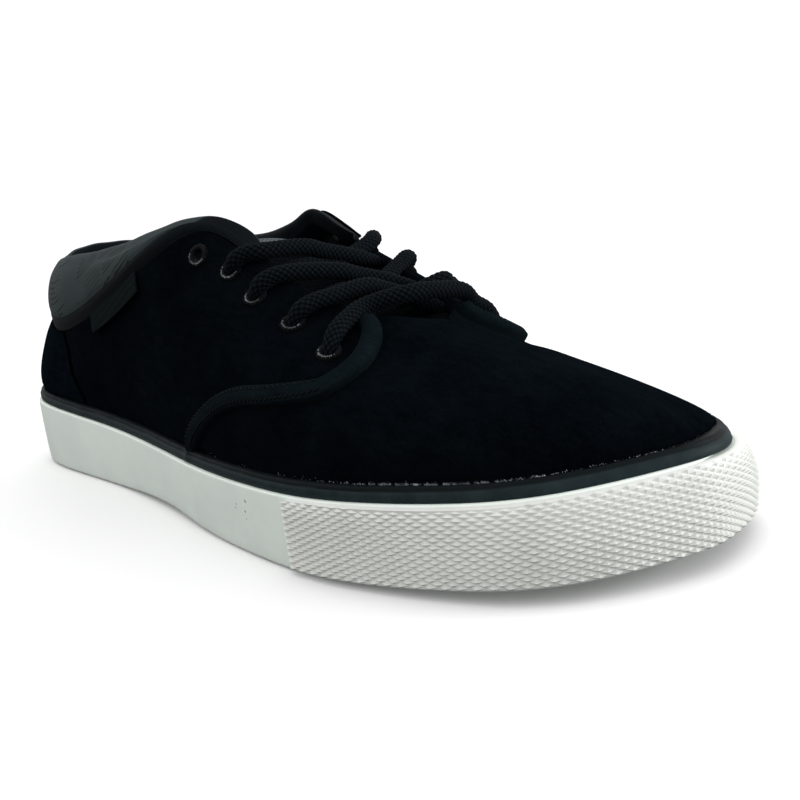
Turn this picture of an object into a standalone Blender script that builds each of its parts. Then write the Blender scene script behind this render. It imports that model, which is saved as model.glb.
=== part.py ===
# Low sneaker for the right foot, built about its own form.
# The form is a table of ribs: each rib climbs from the sole edge to the crest
# (collar rim, flap edge or the line along the top of the vamp). Every piece of
# the upper is cut from that one form. Lengths in the tables are millimetres.
import math

import bmesh
import bpy
import numpy as np
from mathutils import Matrix, Vector

MM = 0.001
X_MID = 150.11
Y_MID = -1.96
UP = np.array([0.0, 0.0, 1.0])

# Driving sizes
UPPER_INSET = 3.3
UPPER_WALL = 2.0
SEAT_GAP = 0.35
SIDEWALL = 3.0
STRIPE_TALL = 4.2
STRIPE_OUTER = 1.0
STRIPE_INNER = 2.9
STRIPE_LEAN = 1.1
STRIPE_EASE = 0.6
SIDE_TAPER = 0.5
TOE_FLARE = 5.4
FLARE_PEAK = 0.66
FLARE_TUCK = 0.03
FLARE_START_X = 225.0
FLARE_RUN = 60.0
TOE_SPRING = 5.6
SPRING_START_X = 190.0
SPRING_RUN = 105.0
ARCH_RELIEF = 1.4
ARCH_X = 118.0
ARCH_HALF = 48.0
FLOOR_HEEL = 11.5
FLOOR_TOE = 8.0
FLOOR_EASE_X = 60.0
FLOOR_EASE_RUN = 150.0
EDGE_ROUND = 1.2
ROUND_LEVEL = 0.06
RIM_EASE = 0.4
INSOLE_THICK = 4.0
INSOLE_EASE = 0.7
BUMPER_THICK = 1.2
BUMPER_GAP = 0.65
BUMPER_RIB = 7.05
BUMPER_LOW = 0.8
BUMPER_HIGH = 1.6
BUMPER_BEVEL = 0.5
BUMPER_ENDS = (0.0, 0.04, 0.1, 0.2)
BUMPER_ROUND = 0.22
BUMPER_BLUNT = 0.12
BAND_HALF = 2.8
BAND_RISE = 2.0
BAND_SEAT = 0.25
BAND_SECTIONS = 34
BAND_CROWN = 0.7
BAND_MEDIAL_BACK = 0.12
BAND_SHIFT_TOP = 0.95
BAND_SHIFT_RUN = 0.25
EYELET_OUTER = 4.1
EYELET_HOLE = 2.1
EYELET_RISE = 1.2
EYELET_SIDES = 10
HOLE_RADIUS = 2.3
LACE_RADIUS = 2.6
TONGUE_THICK = 4.0
TONGUE_ACROSS = 11
TONGUE_ALONG = 14
TONGUE_EDGE = 0.97
TONGUE_ROOM = 0.15
TONGUE_SAG_SHARE = 0.35
NEAR_CREST = 0.985
TAG_RISE = 1.1
HEEL_STEP = 0.7
HEEL_SEAM_RIB = 2.2
SEAM_CLEAR = 0.16
SEAM_PAIR = 0.05
COLLAR_END_RIB = 6.18
COLLAR_FADE = 0.3
COLLAR_PAD = 8.5
COLLAR_BULGE = 1.4
COLLAR_THIN = 3.4
COLLAR_FULL_DROP = 13.0
COLLAR_TUCK = 0.45
COLLAR_HEM = 1.0
COLLAR_SECTIONS = 47
SPINE_RIBS = 2.5
SPINE_EASE = 0.5
SPINE_TIP = 0.9
COLUMNS_HALF = 36
ROWS = 8
WALL_LEVELS = (0.34, 0.72)

RIB_COLUMNS = ("sole_x", "sole_y", "edge_z", "crest_x", "crest_y", "crest_z",
               "base_out", "base_up", "top_out", "top_up", "collar_drop")
RIBS = (
    ("heel_back", 1.0, 0.0, 29.4, 9.0, 0.0, 79.2, 1.6, 12.0, 0.5, -17.0, 16.0),
    ("heel_round_lat", 8.4, -25.6, 29.2, 18.3, -14.4, 77.0, 3.2, 11.5, -2.0, -17.0, 17.0),
    ("heel_lat", 38.7, -34.0, 27.9, 41.0, -24.5, 79.0, 1.8, 15.0, 0.8, -17.0, 26.0),
    ("rear_lat", 80.1, -36.2, 26.0, 80.0, -28.0, 82.9, 1.5, 19.0, 3.0, -18.0, 18.8),
    ("waist_lat", 118.0, -41.5, 24.5, 116.0, -29.0, 89.6, 1.5, 20.0, 5.0, -16.0, 10.0),
    ("eyelet_lat", 139.0, -46.2, 24.5, 139.0, -24.5, 92.2, 1.5, 20.0, 9.0, -11.0, 3.6),
    ("quarter_lat", 164.0, -51.2, 24.9, 155.0, -20.5, 85.2, 1.5, 20.0, 13.0, -9.0, 2.4),
    ("ball_lat", 200.0, -55.2, 25.9, 178.0, -21.5, 72.8, 1.5, 19.0, 17.0, -9.0, 0.0),
    ("throat_lat", 229.0, -53.2, 27.6, 201.0, -13.5, 62.8, 1.5, 17.0, 24.0, -7.0, 0.0),
    ("vamp_lat", 253.0, -44.8, 29.1, 216.0, 1.5, 58.2, 1.5, 13.0, 27.0, -1.5, 0.0),
    ("toe_lat", 275.5, -29.5, 30.2, 239.0, 4.0, 51.8, 1.0, 11.0, 24.0, -2.6, 0.0),
    ("tip_lat", 290.0, -5.4, 30.6, 252.0, 5.8, 48.0, 1.0, 9.0, 21.0, -5.0, 0.0),
    ("tip_med", 291.9, 10.0, 30.3, 252.0, 5.8, 48.0, 1.0, 7.0, 17.0, -6.0, 0.0),
    ("toe_med", 282.4, 33.4, 28.6, 239.0, 4.0, 51.8, 0.0, 3.5, 13.5, -7.0, 0.0),
    ("vamp_med", 257.0, 47.0, 27.6, 216.0, 1.5, 58.2, 0.5, 4.5, 15.0, -7.0, 0.0),
    ("throat_med", 230.0, 51.4, 26.6, 206.0, 13.5, 60.6, 0.5, 9.0, 14.5, -11.0, 0.0),
    ("ball_med", 198.0, 49.7, 25.8, 180.0, 21.0, 70.4, 1.5, 18.0, 15.0, -9.0, 0.0),
    ("quarter_med", 162.0, 44.7, 24.8, 155.5, 20.0, 83.0, 1.5, 20.0, 12.0, -9.0, 3.0),
    ("eyelet_med", 138.0, 41.2, 24.5, 138.5, 22.0, 89.0, 1.5, 20.0, 9.0, -11.0, 4.0),
    ("waist_med", 117.0, 38.8, 24.5, 118.0, 26.0, 82.6, 1.5, 20.0, 5.0, -16.0, 9.4),
    ("rear_med", 80.0, 37.1, 26.0, 80.0, 28.5, 79.0, 1.5, 18.0, 3.0, -16.0, 16.0),
    ("heel_med", 38.3, 35.4, 27.9, 41.0, 25.5, 79.2, 1.6, 15.0, 2.0, -16.0, 23.0),
    ("heel_round_med", 11.0, 22.9, 29.2, 17.5, 15.0, 80.0, 2.0, 12.0, 1.0, -17.0, 17.0),
)
COUNT = len(RIBS)
TOE_RIB = COUNT / 2.0
COL = {name: k for k, name in enumerate(RIB_COLUMNS)}
VALUES = np.array([row[1:] for row in RIBS])

# Eyelets from the top down: rib number on the lateral side and height along it
EYELETS = (
    ("1", 5.22, 0.788),
    ("2", 6.04, 0.803),
    ("3", 6.615, 0.788),
    ("4", 7.245, 0.785),
    ("5", 7.774, 0.699),
)

# Raised band along the front of each quarter: rib number and height along it
BAND_PATH = (
    ("throat", 7.90, 0.955),
    ("corner", 8.05, 0.913),
    ("front_high", 8.17, 0.843),
    ("front", 8.196, 0.725),
    ("front_low", 8.074, 0.616),
    ("turn", 7.76, 0.493),
    ("back_1", 7.40, 0.430),
    ("back_2", 6.95, 0.369),
    ("back_3", 6.63, 0.333),
    ("drop_1", 6.24, 0.273),
    ("drop_2", 5.79, 0.178),
    ("drop_3", 5.43, 0.088),
    ("sole", 5.25, 0.052),
)

# Tongue stations: ribs away from the toe, sag below the flaps, lowest height used on the ribs,
# and how much further under the flaps it lies to pass the collar
TONGUE = (
    ("root", 1.9, 0.0, 0.86, 0.0),
    ("under_vamp", 2.5, 0.0, 0.82, 0.0),
    ("throat", 3.0, 1.0, 0.80, 0.0),
    ("bar", 3.5, 3.6, 0.80, 0.0),
    ("row_4", 4.0, 7.4, 0.80, 0.0),
    ("row_3", 4.5, 8.6, 0.80, 0.0),
    ("row_2", 5.0, 8.4, 0.80, 0.4),
    ("row_1", 5.45, 4.8, 0.82, 2.6),
    ("top", 5.95, -1.4, 0.86, 4.0),
)

# Lace crossings: name, eyelet the strands start from, centre x, height of the upper strand there
CROSSINGS = (
    ("lace_cross_1", 1, 166.0, 78.4),
    ("lace_cross_2", 2, 180.3, 71.2),
    ("lace_cross_3", 3, 191.8, 66.9),
)
LACE_STACK = 4.7
LACE_STAND = 2.4
LACE_BOW = 1.4
LACE_BOW_MEDIAL = 1.0
LACE_SIDES = 8
STRAND_SECTIONS = 15
BAR_SECTIONS = 22
LACE_TIP = 0.72
LACE_BAR_MIDDLE = ((206.5, -6.0, 66.6), (207.0, 5.0, 65.6))
FAR_SHARE = 0.5
LAST_SHARE = 0.64
EASE_OVER = (0.0, 6.0, 0.3)
EASE_UNDER = (0.0, 8.5, 2.6)
# Per eyelet: how many ribs ahead of the eyelet a strand crosses the flap edge, and its room there
EDGE_SHIFT = (0.0, 0.34, 0.26, 0.24, 0.12)
EDGE_CLEAR = (0.9, 1.9, 2.0, 2.1, 3.3)
EDGE_CLEAR_MEDIAL = (0.9, 2.0, 2.1, 2.4, 3.2)

# Woven tag on the lateral quarter: rib number and height along it for its upper edge, then its tall
TAG = (
    ("rear", 2.825, 0.636),
    ("middle", 3.286, 0.723),
    ("front", 3.766, 0.804),
)
TAG_TALL = 7.5
TAG_SECTIONS = 9
TAG_SEAT = 0.15
TAG_TIP = 0.5


def clear_scene():
    for item in list(bpy.data.objects):
        bpy.data.objects.remove(item, do_unlink=True)
    for mesh in list(bpy.data.meshes):
        bpy.data.meshes.remove(mesh)
    for group in list(bpy.data.collections):
        bpy.data.collections.remove(group)


def ring_bends(values):
    # Second derivatives of a closed cubic spline whose rows are one unit apart.
    n = len(values)
    grid = np.zeros((n, n))
    for i in range(n):
        grid[i, i] = 4.0
        grid[i, (i + 1) % n] += 1.0
        grid[i, (i - 1) % n] += 1.0
    change = np.roll(values, -1, 0) - 2.0 * values + np.roll(values, 1, 0)
    return np.linalg.solve(grid, 6.0 * change)


BENDS = ring_bends(VALUES)


def rib(u):
    # One row of the table for every rib number in u.
    u = np.atleast_1d(np.asarray(u, float)) % COUNT
    low = np.floor(u).astype(int) % COUNT
    high = (low + 1) % COUNT
    f = (u - np.floor(u))[:, None]
    g = 1.0 - f
    bend = (g ** 3 - g) * BENDS[low] + (f ** 3 - f) * BENDS[high]
    return g * VALUES[low] + f * VALUES[high] + bend / 6.0


def outward(u):
    # Plan direction pointing out of the sole outline.
    u = np.atleast_1d(np.asarray(u, float))
    along = rib(u + 0.001)[:, :2] - rib(u - 0.001)[:, :2]
    normal = np.column_stack([along[:, 1], -along[:, 0]])
    return normal / np.linalg.norm(normal, axis=1)[:, None]


OUT_SIGN = -1.0 if outward(0.0)[0, 0] > 0.0 else 1.0


def plan_out(u):
    flat = outward(u) * OUT_SIGN
    return np.column_stack([flat, np.zeros(len(flat))])


def smooth(x):
    x = np.clip(x, 0.0, 1.0)
    return x * x * (3.0 - 2.0 * x)


def unit(v):
    return v / np.linalg.norm(v, axis=1)[:, None]


def crest_pull(u):
    # Way in which a rib leaves its crest.
    r = rib(u)
    return plan_out(u) * r[:, 8:9] + UP * r[:, 9:10]


def spine(away):
    # Line along the top of the vamp, by ribs away from the toe.
    return 0.5 * (rib(TOE_RIB - away) + rib(TOE_RIB + away))[:, 3:6]


def spine_normal(away):
    # Upright of the vamp on that line, shared by the two ribs that meet there.
    away = np.maximum(away, SPINE_TIP)
    across = unit(crest_pull(TOE_RIB - away)) - unit(crest_pull(TOE_RIB + away))
    normal = unit(np.cross(spine(away + 0.01) - spine(away - 0.01), across))
    normal[normal[:, 2] < 0.0] *= -1.0
    return normal


def bare_surface(u, t):
    # A cubic curve from the feather edge to the crest on each rib.
    u = np.atleast_1d(np.asarray(u, float))
    r = rib(u)
    out = plan_out(u)
    start = np.column_stack([r[:, :2], r[:, 2]]) - out * UPPER_INSET
    crest = r[:, 3:6].copy()
    away = np.abs(u % COUNT - TOE_RIB)
    joined = away <= SPINE_RIBS + 0.001
    crest[joined] = spine(away[joined])
    pull = crest_pull(u)
    upright = spine_normal(np.minimum(away, SPINE_RIBS))
    share = smooth((SPINE_RIBS - away) / SPINE_EASE)
    pull = pull - upright * ((pull * upright).sum(1) * share)[:, None]
    low = start + out * r[:, 6:7] + UP * r[:, 7:8]
    high = crest + pull
    t = np.broadcast_to(np.atleast_1d(np.asarray(t, float)), (len(r),))[:, None]
    s = 1.0 - t
    return s ** 3 * start + 3.0 * s * s * t * low + 3.0 * s * t * t * high + t ** 3 * crest


def lean(u, t):
    # Outward normal of the form.
    u = np.atleast_1d(np.asarray(u, float))
    t = np.broadcast_to(np.atleast_1d(np.asarray(t, float)), u.shape)
    low = np.clip(t - 0.004, 0.0, 0.985)
    high = np.clip(t + 0.004, 0.015, 1.0)
    rise = bare_surface(u, high) - bare_surface(u, low)
    near = np.minimum(t, 0.985)
    along = bare_surface(u + 0.01, near) - bare_surface(u - 0.01, near)
    normal = unit(np.cross(along, rise))
    facing = (normal * plan_out(u)).sum(1) + normal[:, 2] * 0.5
    normal[facing < 0.0] *= -1.0
    return normal


def surface(u, t, lift=0.0):
    u = np.atleast_1d(np.asarray(u, float))
    t = np.broadcast_to(np.atleast_1d(np.asarray(t, float)), u.shape)
    lift = np.broadcast_to(np.atleast_1d(np.asarray(lift, float)), u.shape)
    return bare_surface(u, t) + lean(u, t) * lift[:, None]


def collar_drop(u):
    # Tall of the collar band; it fades out at the front corner of each flap.
    u = np.atleast_1d(np.asarray(u, float)) % COUNT
    away = np.minimum(u, COUNT - u)
    fade = smooth((COLLAR_END_RIB + 0.5 * COLLAR_FADE - away) / COLLAR_FADE)
    return np.maximum(rib(u)[:, COL["collar_drop"]], 0.0) * fade


def collar_line(u, extra=0.0):
    # Height along the rib where the suede stops and the collar starts.
    u = np.atleast_1d(np.asarray(u, float))
    drop = collar_drop(u) + extra
    goal = bare_surface(u, 1.0)[:, 2] - drop
    low = np.zeros(len(u))
    high = np.ones(len(u))
    for _ in range(36):
        middle = 0.5 * (low + high)
        under = bare_surface(u, middle)[:, 2] < goal
        low = np.where(under, middle, low)
        high = np.where(under, high, middle)
    return np.where(drop < 0.05, 1.0, high)


def white_top(u):
    return rib(u)[:, COL["edge_z"]] - STRIPE_TALL


def ground(x):
    # Underside of the sole: flat at heel and ball, eased up at the arch and the toe.
    spring = TOE_SPRING * np.clip((x - SPRING_START_X) / SPRING_RUN, 0.0, None) ** 2
    arch = ARCH_RELIEF * smooth(1.0 - np.abs(x - ARCH_X) / ARCH_HALF)
    return np.where(x > SPRING_START_X, spring, arch)


def floor_height(x):
    share = smooth((x - FLOOR_EASE_X) / FLOOR_EASE_RUN)
    return ground(x) + FLOOR_HEEL * (1.0 - share) + FLOOR_TOE * share


def toe_share(u):
    return smooth((rib(u)[:, 0] - FLARE_START_X) / FLARE_RUN)


def wall_out(u, level):
    # Plan offset of the sidewall: level 0 at the ground, 1 at the white edge. It is full at the toe.
    down = 1.0 - level
    above = (down - FLARE_PEAK) / FLARE_PEAK
    below = (down - FLARE_PEAK) / (1.0 - FLARE_PEAK)
    short = np.where(down < FLARE_PEAK, above ** 2, FLARE_TUCK * below ** 2)
    return TOE_FLARE * toe_share(u) * (1.0 - short) - SIDE_TAPER * down


def outline(u, offset):
    flat = rib(u)[:, :2] + plan_out(u)[:, :2] * np.broadcast_to(offset, (len(np.atleast_1d(u)),))[:, None]
    return flat


def half_columns():
    # Rib numbers from heel to toe, with a close pair where the heel panel ends.
    even = np.linspace(0.0, TOE_RIB, COLUMNS_HALF + 1)
    keep = [value for value in even if abs(value - HEEL_SEAM_RIB) > SEAM_CLEAR]
    keep += [HEEL_SEAM_RIB - SEAM_PAIR, HEEL_SEAM_RIB + SEAM_PAIR]
    return sorted(keep)


def ring_columns():
    half = half_columns()
    return np.array(half + [COUNT - value for value in reversed(half[1:-1])])


def to_metres(points):
    moved = np.asarray(points, float) - np.array([X_MID, Y_MID, 0.0])
    return moved * MM


def material(name, colour, roughness):
    made = bpy.data.materials.new(name)
    made.use_nodes = True
    shader = made.node_tree.nodes["Principled BSDF"]
    shader.inputs["Base Color"].default_value = (*colour, 1.0)
    shader.inputs["Roughness"].default_value = roughness
    return made


def add_object(name, mesh, group, skin):
    item = bpy.data.objects.new(name, mesh)
    mesh.materials.append(skin)
    group.objects.link(item)
    return item


def mesh_from(name, points, faces):
    mesh = bpy.data.meshes.new(name)
    work = bmesh.new()
    corners = [work.verts.new(p) for p in to_metres(points)]
    for face in faces:
        work.faces.new([corners[k] for k in face])
    bmesh.ops.recalc_face_normals(work, faces=work.faces)
    if work.calc_volume(signed=True) < 0.0:
        bmesh.ops.reverse_faces(work, faces=work.faces)
    work.to_mesh(mesh)
    work.free()
    return mesh


def loft(name, sections, closed_path=False):
    # Skins a row of closed sections that all have the same number of points.
    rows = len(sections)
    width = len(sections[0])
    points = np.concatenate(sections)
    faces = []
    last = rows if closed_path else rows - 1
    for i in range(last):
        j = (i + 1) % rows
        for k in range(width):
            m = (k + 1) % width
            faces.append((i * width + k, i * width + m, j * width + m, j * width + k))
    if not closed_path:
        faces.append(tuple(range(width)))
        faces.append(tuple((rows - 1) * width + k for k in reversed(range(width))))
    return mesh_from(name, points, faces)


def build_sole(group, skin):
    u = ring_columns()
    n = len(u)
    top = white_top(u)
    x = rib(u)[:, 0]
    bottom = ground(x)
    rings = []
    low = outline(u, wall_out(u, 0.0) - EDGE_ROUND * 2.0)
    rings.append(np.column_stack([low, ground(low[:, 0])]))
    side = outline(u, wall_out(u, ROUND_LEVEL))
    rings.append(np.column_stack([side, bottom + EDGE_ROUND]))
    for level in WALL_LEVELS:
        rings.append(np.column_stack([outline(u, wall_out(u, level)), bottom + (top - bottom) * level]))
    rim = outline(u, 0.0)
    rings.append(np.column_stack([rim, top - RIM_EASE]))
    ease = outline(u, -RIM_EASE)
    rings.append(np.column_stack([ease, top]))
    inner = outline(u, -SIDEWALL)
    rings.append(np.column_stack([inner, top]))
    well = outline(u, -SIDEWALL)
    rings.append(np.column_stack([well, floor_height(well[:, 0])]))
    points = np.concatenate(rings)
    faces = []
    for level in range(len(rings) - 1):
        for k in range(n):
            m = (k + 1) % n
            faces.append((level * n + k, level * n + m, (level + 1) * n + m, (level + 1) * n + k))
    half = n // 2
    for base in (0, (len(rings) - 1) * n):
        faces.append((base, base + 1, base + n - 1))
        for k in range(1, half - 1):
            faces.append((base + k, base + k + 1, base + n - k - 1, base + n - k))
        faces.append((base + half - 1, base + half, base + half + 1))
    return add_object("sole", mesh_from("sole", points, faces), group, skin)


def build_bumper(group, skin):
    sections = []
    ends = [BUMPER_RIB + step for step in BUMPER_ENDS]
    first = BUMPER_RIB + BUMPER_ROUND
    inside = [u for u in ring_columns() if first < u < COUNT - first]
    for u in ends + inside + [COUNT - value for value in reversed(ends)]:
        x = rib(u)[0, 0]
        end = min(u - BUMPER_RIB, COUNT - BUMPER_RIB - u)
        squeeze = math.sqrt(min(end / BUMPER_ROUND + BUMPER_BLUNT, 1.0))
        foot = ground(x) + BUMPER_LOW
        head = white_top(u)[0] - BUMPER_HIGH
        middle = 0.5 * (foot + head)
        foot = middle + (foot - middle) * squeeze
        head = middle + (head - middle) * squeeze
        rise = white_top(u)[0] - ground(x)
        section = []
        low_z, high_z = (foot + (head - foot) * level for level in WALL_LEVELS)
        face = BUMPER_GAP + BUMPER_THICK
        outside = (foot + BUMPER_BEVEL, low_z, high_z, head - BUMPER_BEVEL)
        profile = [(foot, BUMPER_GAP)] + [(z, face) for z in outside]
        profile += [(z, BUMPER_GAP) for z in (head, high_z, low_z)]
        for z, extra in profile:
            level = (z - ground(x)) / rise
            spot = outline(u, wall_out(u, level) + extra)[0]
            section.append((spot[0], spot[1], z))
        sections.append(np.array(section))
    return add_object("toe_bumper", loft("toe_bumper", sections), group, skin)


def build_stripe(group, skin):
    sections = []
    for u in ring_columns():
        foot = white_top(u)[0] + SEAT_GAP
        head = rib(u)[0, COL["edge_z"]]
        lean_in = STRIPE_LEAN * toe_share(u)[0]
        section = []
        shoulder = -STRIPE_OUTER - lean_in
        profile = [(-STRIPE_OUTER, foot), (shoulder, head - STRIPE_EASE), (shoulder - STRIPE_EASE, head)]
        profile += [(-STRIPE_INNER, head), (-STRIPE_INNER, foot)]
        for offset, z in profile:
            spot = outline(u, offset)[0]
            section.append((spot[0], spot[1], z))
        sections.append(np.array(section))
    mesh = loft("foxing_stripe", sections, closed_path=True)
    return add_object("foxing_stripe", mesh, group, skin)


def heel_lift(u):
    # The heel panel stands a little proud of the quarters.
    away = np.minimum(u % COUNT, COUNT - u % COUNT)
    return np.where(away < HEEL_SEAM_RIB, HEEL_STEP, 0.0)


def build_upper(group, skin):
    u = ring_columns()
    n = len(u)
    stop = collar_line(u)
    rings = []
    base = bare_surface(u, 0.0)
    foot = floor_height(base[:, 0]) + SEAT_GAP
    rings.append(np.column_stack([base[:, :2], foot]))
    rings.append(np.column_stack([base[:, :2], 0.5 * (foot + base[:, 2])]))
    for k in range(ROWS + 1):
        share = k / ROWS
        step = heel_lift(u) * smooth(share * 6.0)
        rings.append(surface(u, stop * share, step))
    crest = rings[-1]
    for k in range(n):
        pair = (n - k) % n
        if abs(u[k] - TOE_RIB) <= SPINE_RIBS + 0.001:
            both = 0.5 * (crest[k] + crest[pair])
            crest[k] = both
            crest[pair] = both
    points = np.concatenate(rings)
    faces = []
    for level in range(len(rings) - 1):
        for k in range(n):
            m = (k + 1) % n
            faces.append((level * n + k, level * n + m, (level + 1) * n + m, (level + 1) * n + k))
    mesh = bpy.data.meshes.new("upper")
    work = bmesh.new()
    corners = [work.verts.new(p) for p in to_metres(points)]
    for face in faces:
        work.faces.new([corners[k] for k in face])
    bmesh.ops.remove_doubles(work, verts=work.verts, dist=0.00001)
    bmesh.ops.recalc_face_normals(work, faces=work.faces)
    work.faces.ensure_lookup_table()
    probe = work.faces[0]
    away = probe.calc_center_median() - Vector((0.0, 0.0, probe.calc_center_median().z))
    if probe.normal.dot(away) < 0.0:
        bmesh.ops.reverse_faces(work, faces=work.faces)
    work.to_mesh(mesh)
    work.free()
    item = add_object("upper", mesh, group, skin)
    shell = item.modifiers.new("wall", "SOLIDIFY")
    shell.thickness = UPPER_WALL * MM
    shell.offset = -1.0
    shell.use_even_offset = True
    return item


def eyelet_places():
    places = []
    for label, u, t in EYELETS:
        places.append(("eyelet_lateral_" + label, u, t))
        places.append(("eyelet_medial_" + label, COUNT - u, t))
    return places


def facing_matrix(spot, normal):
    turn = Vector((0.0, 0.0, 1.0)).rotation_difference(Vector(normal)).to_matrix().to_4x4()
    return Matrix.Translation(Vector(spot)) @ turn


def cut_eyelets(upper, cutters, skin):
    mesh = bpy.data.meshes.new("eyelet_cutters")
    work = bmesh.new()
    for _, u, t in eyelet_places():
        spot = to_metres(surface(u, t, -0.5 * UPPER_WALL))[0]
        bmesh.ops.create_cone(work, cap_ends=True, segments=EYELET_SIDES, radius1=HOLE_RADIUS * MM,
                              radius2=HOLE_RADIUS * MM, depth=8.0 * MM,
                              matrix=facing_matrix(spot, lean(u, t)[0]))
    work.to_mesh(mesh)
    work.free()
    cutter = add_object("eyelet_cutters", mesh, cutters, skin)
    cutter.hide_render = True
    cutter.display_type = "WIRE"
    cut = upper.modifiers.new("eyelets", "BOOLEAN")
    cut.operation = "DIFFERENCE"
    cut.solver = "EXACT"
    cut.object = cutter


def build_eyelets(group, skin):
    for name, u, t in eyelet_places():
        spot = surface(u, t, SEAT_GAP)[0]
        normal = Vector(lean(u, t)[0])
        side = normal.orthogonal().normalized()
        other = normal.cross(side)
        sections = []
        for k in range(EYELET_SIDES):
            turn = 2.0 * math.pi * k / EYELET_SIDES
            way = side * math.cos(turn) + other * math.sin(turn)
            section = []
            for reach, rise in ((EYELET_HOLE, 0.1), (EYELET_OUTER, 0.1),
                                (EYELET_OUTER - 0.7, EYELET_RISE), (EYELET_HOLE, EYELET_RISE)):
                section.append(tuple(Vector(spot) + way * reach + normal * rise))
            sections.append(np.array(section))
        add_object(name, loft(name, sections, closed_path=True), group, skin)


def build_collar(group, skin):
    sections = []
    for away in np.linspace(-COLLAR_END_RIB, COLLAR_END_RIB, COLLAR_SECTIONS):
        u = away % COUNT
        drop = collar_drop(u)[0]
        edge = collar_line(u)[0]
        start = collar_line(u, -COLLAR_TUCK)[0]
        deep = collar_line(u, 0.35 * drop + 1.5)[0]
        full = min(drop / COLLAR_FULL_DROP, 1.0)
        pad = UPPER_WALL + SEAT_GAP + COLLAR_HEM + (COLLAR_PAD - COLLAR_THIN) * full
        bulge = COLLAR_BULGE * full
        third = start + (1.0 - start) * 0.33
        most = start + (1.0 - start) * 0.7
        rim = bare_surface(u, 1.0)[0]
        out = plan_out(u)[0]
        back = UPPER_WALL + SEAT_GAP
        section = [
            surface(u, start, 0.0)[0],
            surface(u, third, bulge * 0.8)[0],
            surface(u, most, bulge)[0],
            surface(u, 0.97, bulge * 0.5)[0],
            rim - out * pad * 0.35 + UP * 0.9 * full,
            rim - out * pad * 0.85 - UP * 0.8 * full,
            surface(u, most, -pad)[0],
            surface(u, third, -pad)[0],
            surface(u, deep, -back - COLLAR_HEM)[0],
            surface(u, deep, -back)[0],
            surface(u, edge, -back)[0],
            surface(u, start, -UPPER_WALL)[0],
        ]
        sections.append(np.array(section))
    return add_object("collar", loft("collar", sections), group, skin)


def path_spline(values, samples):
    # Smooth open curve through the rows, evenly sampled by row number.
    values = np.asarray(values, float)
    n = len(values)
    grid = np.eye(n)
    rhs = np.zeros_like(values)
    for i in range(1, n - 1):
        grid[i, i - 1:i + 2] = (1.0, 4.0, 1.0)
        rhs[i] = 6.0 * (values[i + 1] - 2.0 * values[i] + values[i - 1])
    bends = np.linalg.solve(grid, rhs)
    u = np.linspace(0.0, n - 1.0, samples)
    low = np.minimum(np.floor(u).astype(int), n - 2)
    f = (u - low)[:, None]
    g = 1.0 - f
    bend = (g ** 3 - g) * bends[low] + (f ** 3 - f) * bends[low + 1]
    return g * values[low] + f * values[low + 1] + bend / 6.0


def build_band(name, mirrored, group, skin):
    path = path_spline([row[1:] for row in BAND_PATH], BAND_SECTIONS)
    t = path[:, 1]
    shift = BAND_MEDIAL_BACK * smooth((BAND_SHIFT_TOP - t) / BAND_SHIFT_RUN)
    u = COUNT - path[:, 0] + shift if mirrored else path[:, 0]
    spots = surface(u, t, SEAT_GAP)
    normals = lean(u, t)
    across = unit(np.cross(normals, np.gradient(spots, axis=0)))
    sections = []
    for spot, normal, side in zip(spots, normals, across):
        section = []
        for reach, rise in ((-BAND_HALF, BAND_SEAT), (BAND_HALF, BAND_SEAT),
                            (BAND_HALF * BAND_CROWN, BAND_RISE), (-BAND_HALF * BAND_CROWN, BAND_RISE)):
            section.append(spot + side * reach + normal * rise)
        sections.append(np.array(section))
    return add_object(name, loft(name, sections), group, skin)


def tongue_rows():
    rows = []
    under = UPPER_WALL + SEAT_GAP + TONGUE_ROOM + 0.5 * TONGUE_THICK
    for _, away, sag, low, extra in TONGUE:
        lower = under + extra
        left = TOE_RIB - away
        right = TOE_RIB + away
        edge = 0.5 * (surface(left, 0.99, -lower)[0] + surface(right, 0.99, -lower)[0])
        heights = np.array([low, 0.5 * (low + TONGUE_EDGE), TONGUE_EDGE])
        depth = -lower - sag * TONGUE_SAG_SHARE * (heights - low) / (TONGUE_EDGE - low)
        lateral = surface(np.full(3, left), heights, depth)
        medial = surface(np.full(3, right), heights, depth)
        row = np.vstack([lateral, edge - UP * sag, medial[::-1]])
        rows.append(path_spline(row, TONGUE_ACROSS))
    return np.array(rows)


def build_tongue(group, skin):
    rows = tongue_rows()
    count, width = rows.shape[:2]
    flat = rows.reshape(count, width * 3)
    points = path_spline(flat, TONGUE_ALONG).reshape(-1, 3)
    faces = []
    for i in range(TONGUE_ALONG - 1):
        for k in range(width - 1):
            faces.append((i * width + k, i * width + k + 1, (i + 1) * width + k + 1, (i + 1) * width + k))
    mesh = bpy.data.meshes.new("tongue")
    work = bmesh.new()
    corners = [work.verts.new(p) for p in to_metres(points)]
    for face in faces:
        work.faces.new([corners[k] for k in face])
    bmesh.ops.recalc_face_normals(work, faces=work.faces)
    work.to_mesh(mesh)
    work.free()
    item = add_object("tongue", mesh, group, skin)
    shell = item.modifiers.new("thick", "SOLIDIFY")
    shell.thickness = TONGUE_THICK * MM
    shell.offset = 0.0
    shell.use_even_offset = False
    return item


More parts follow.
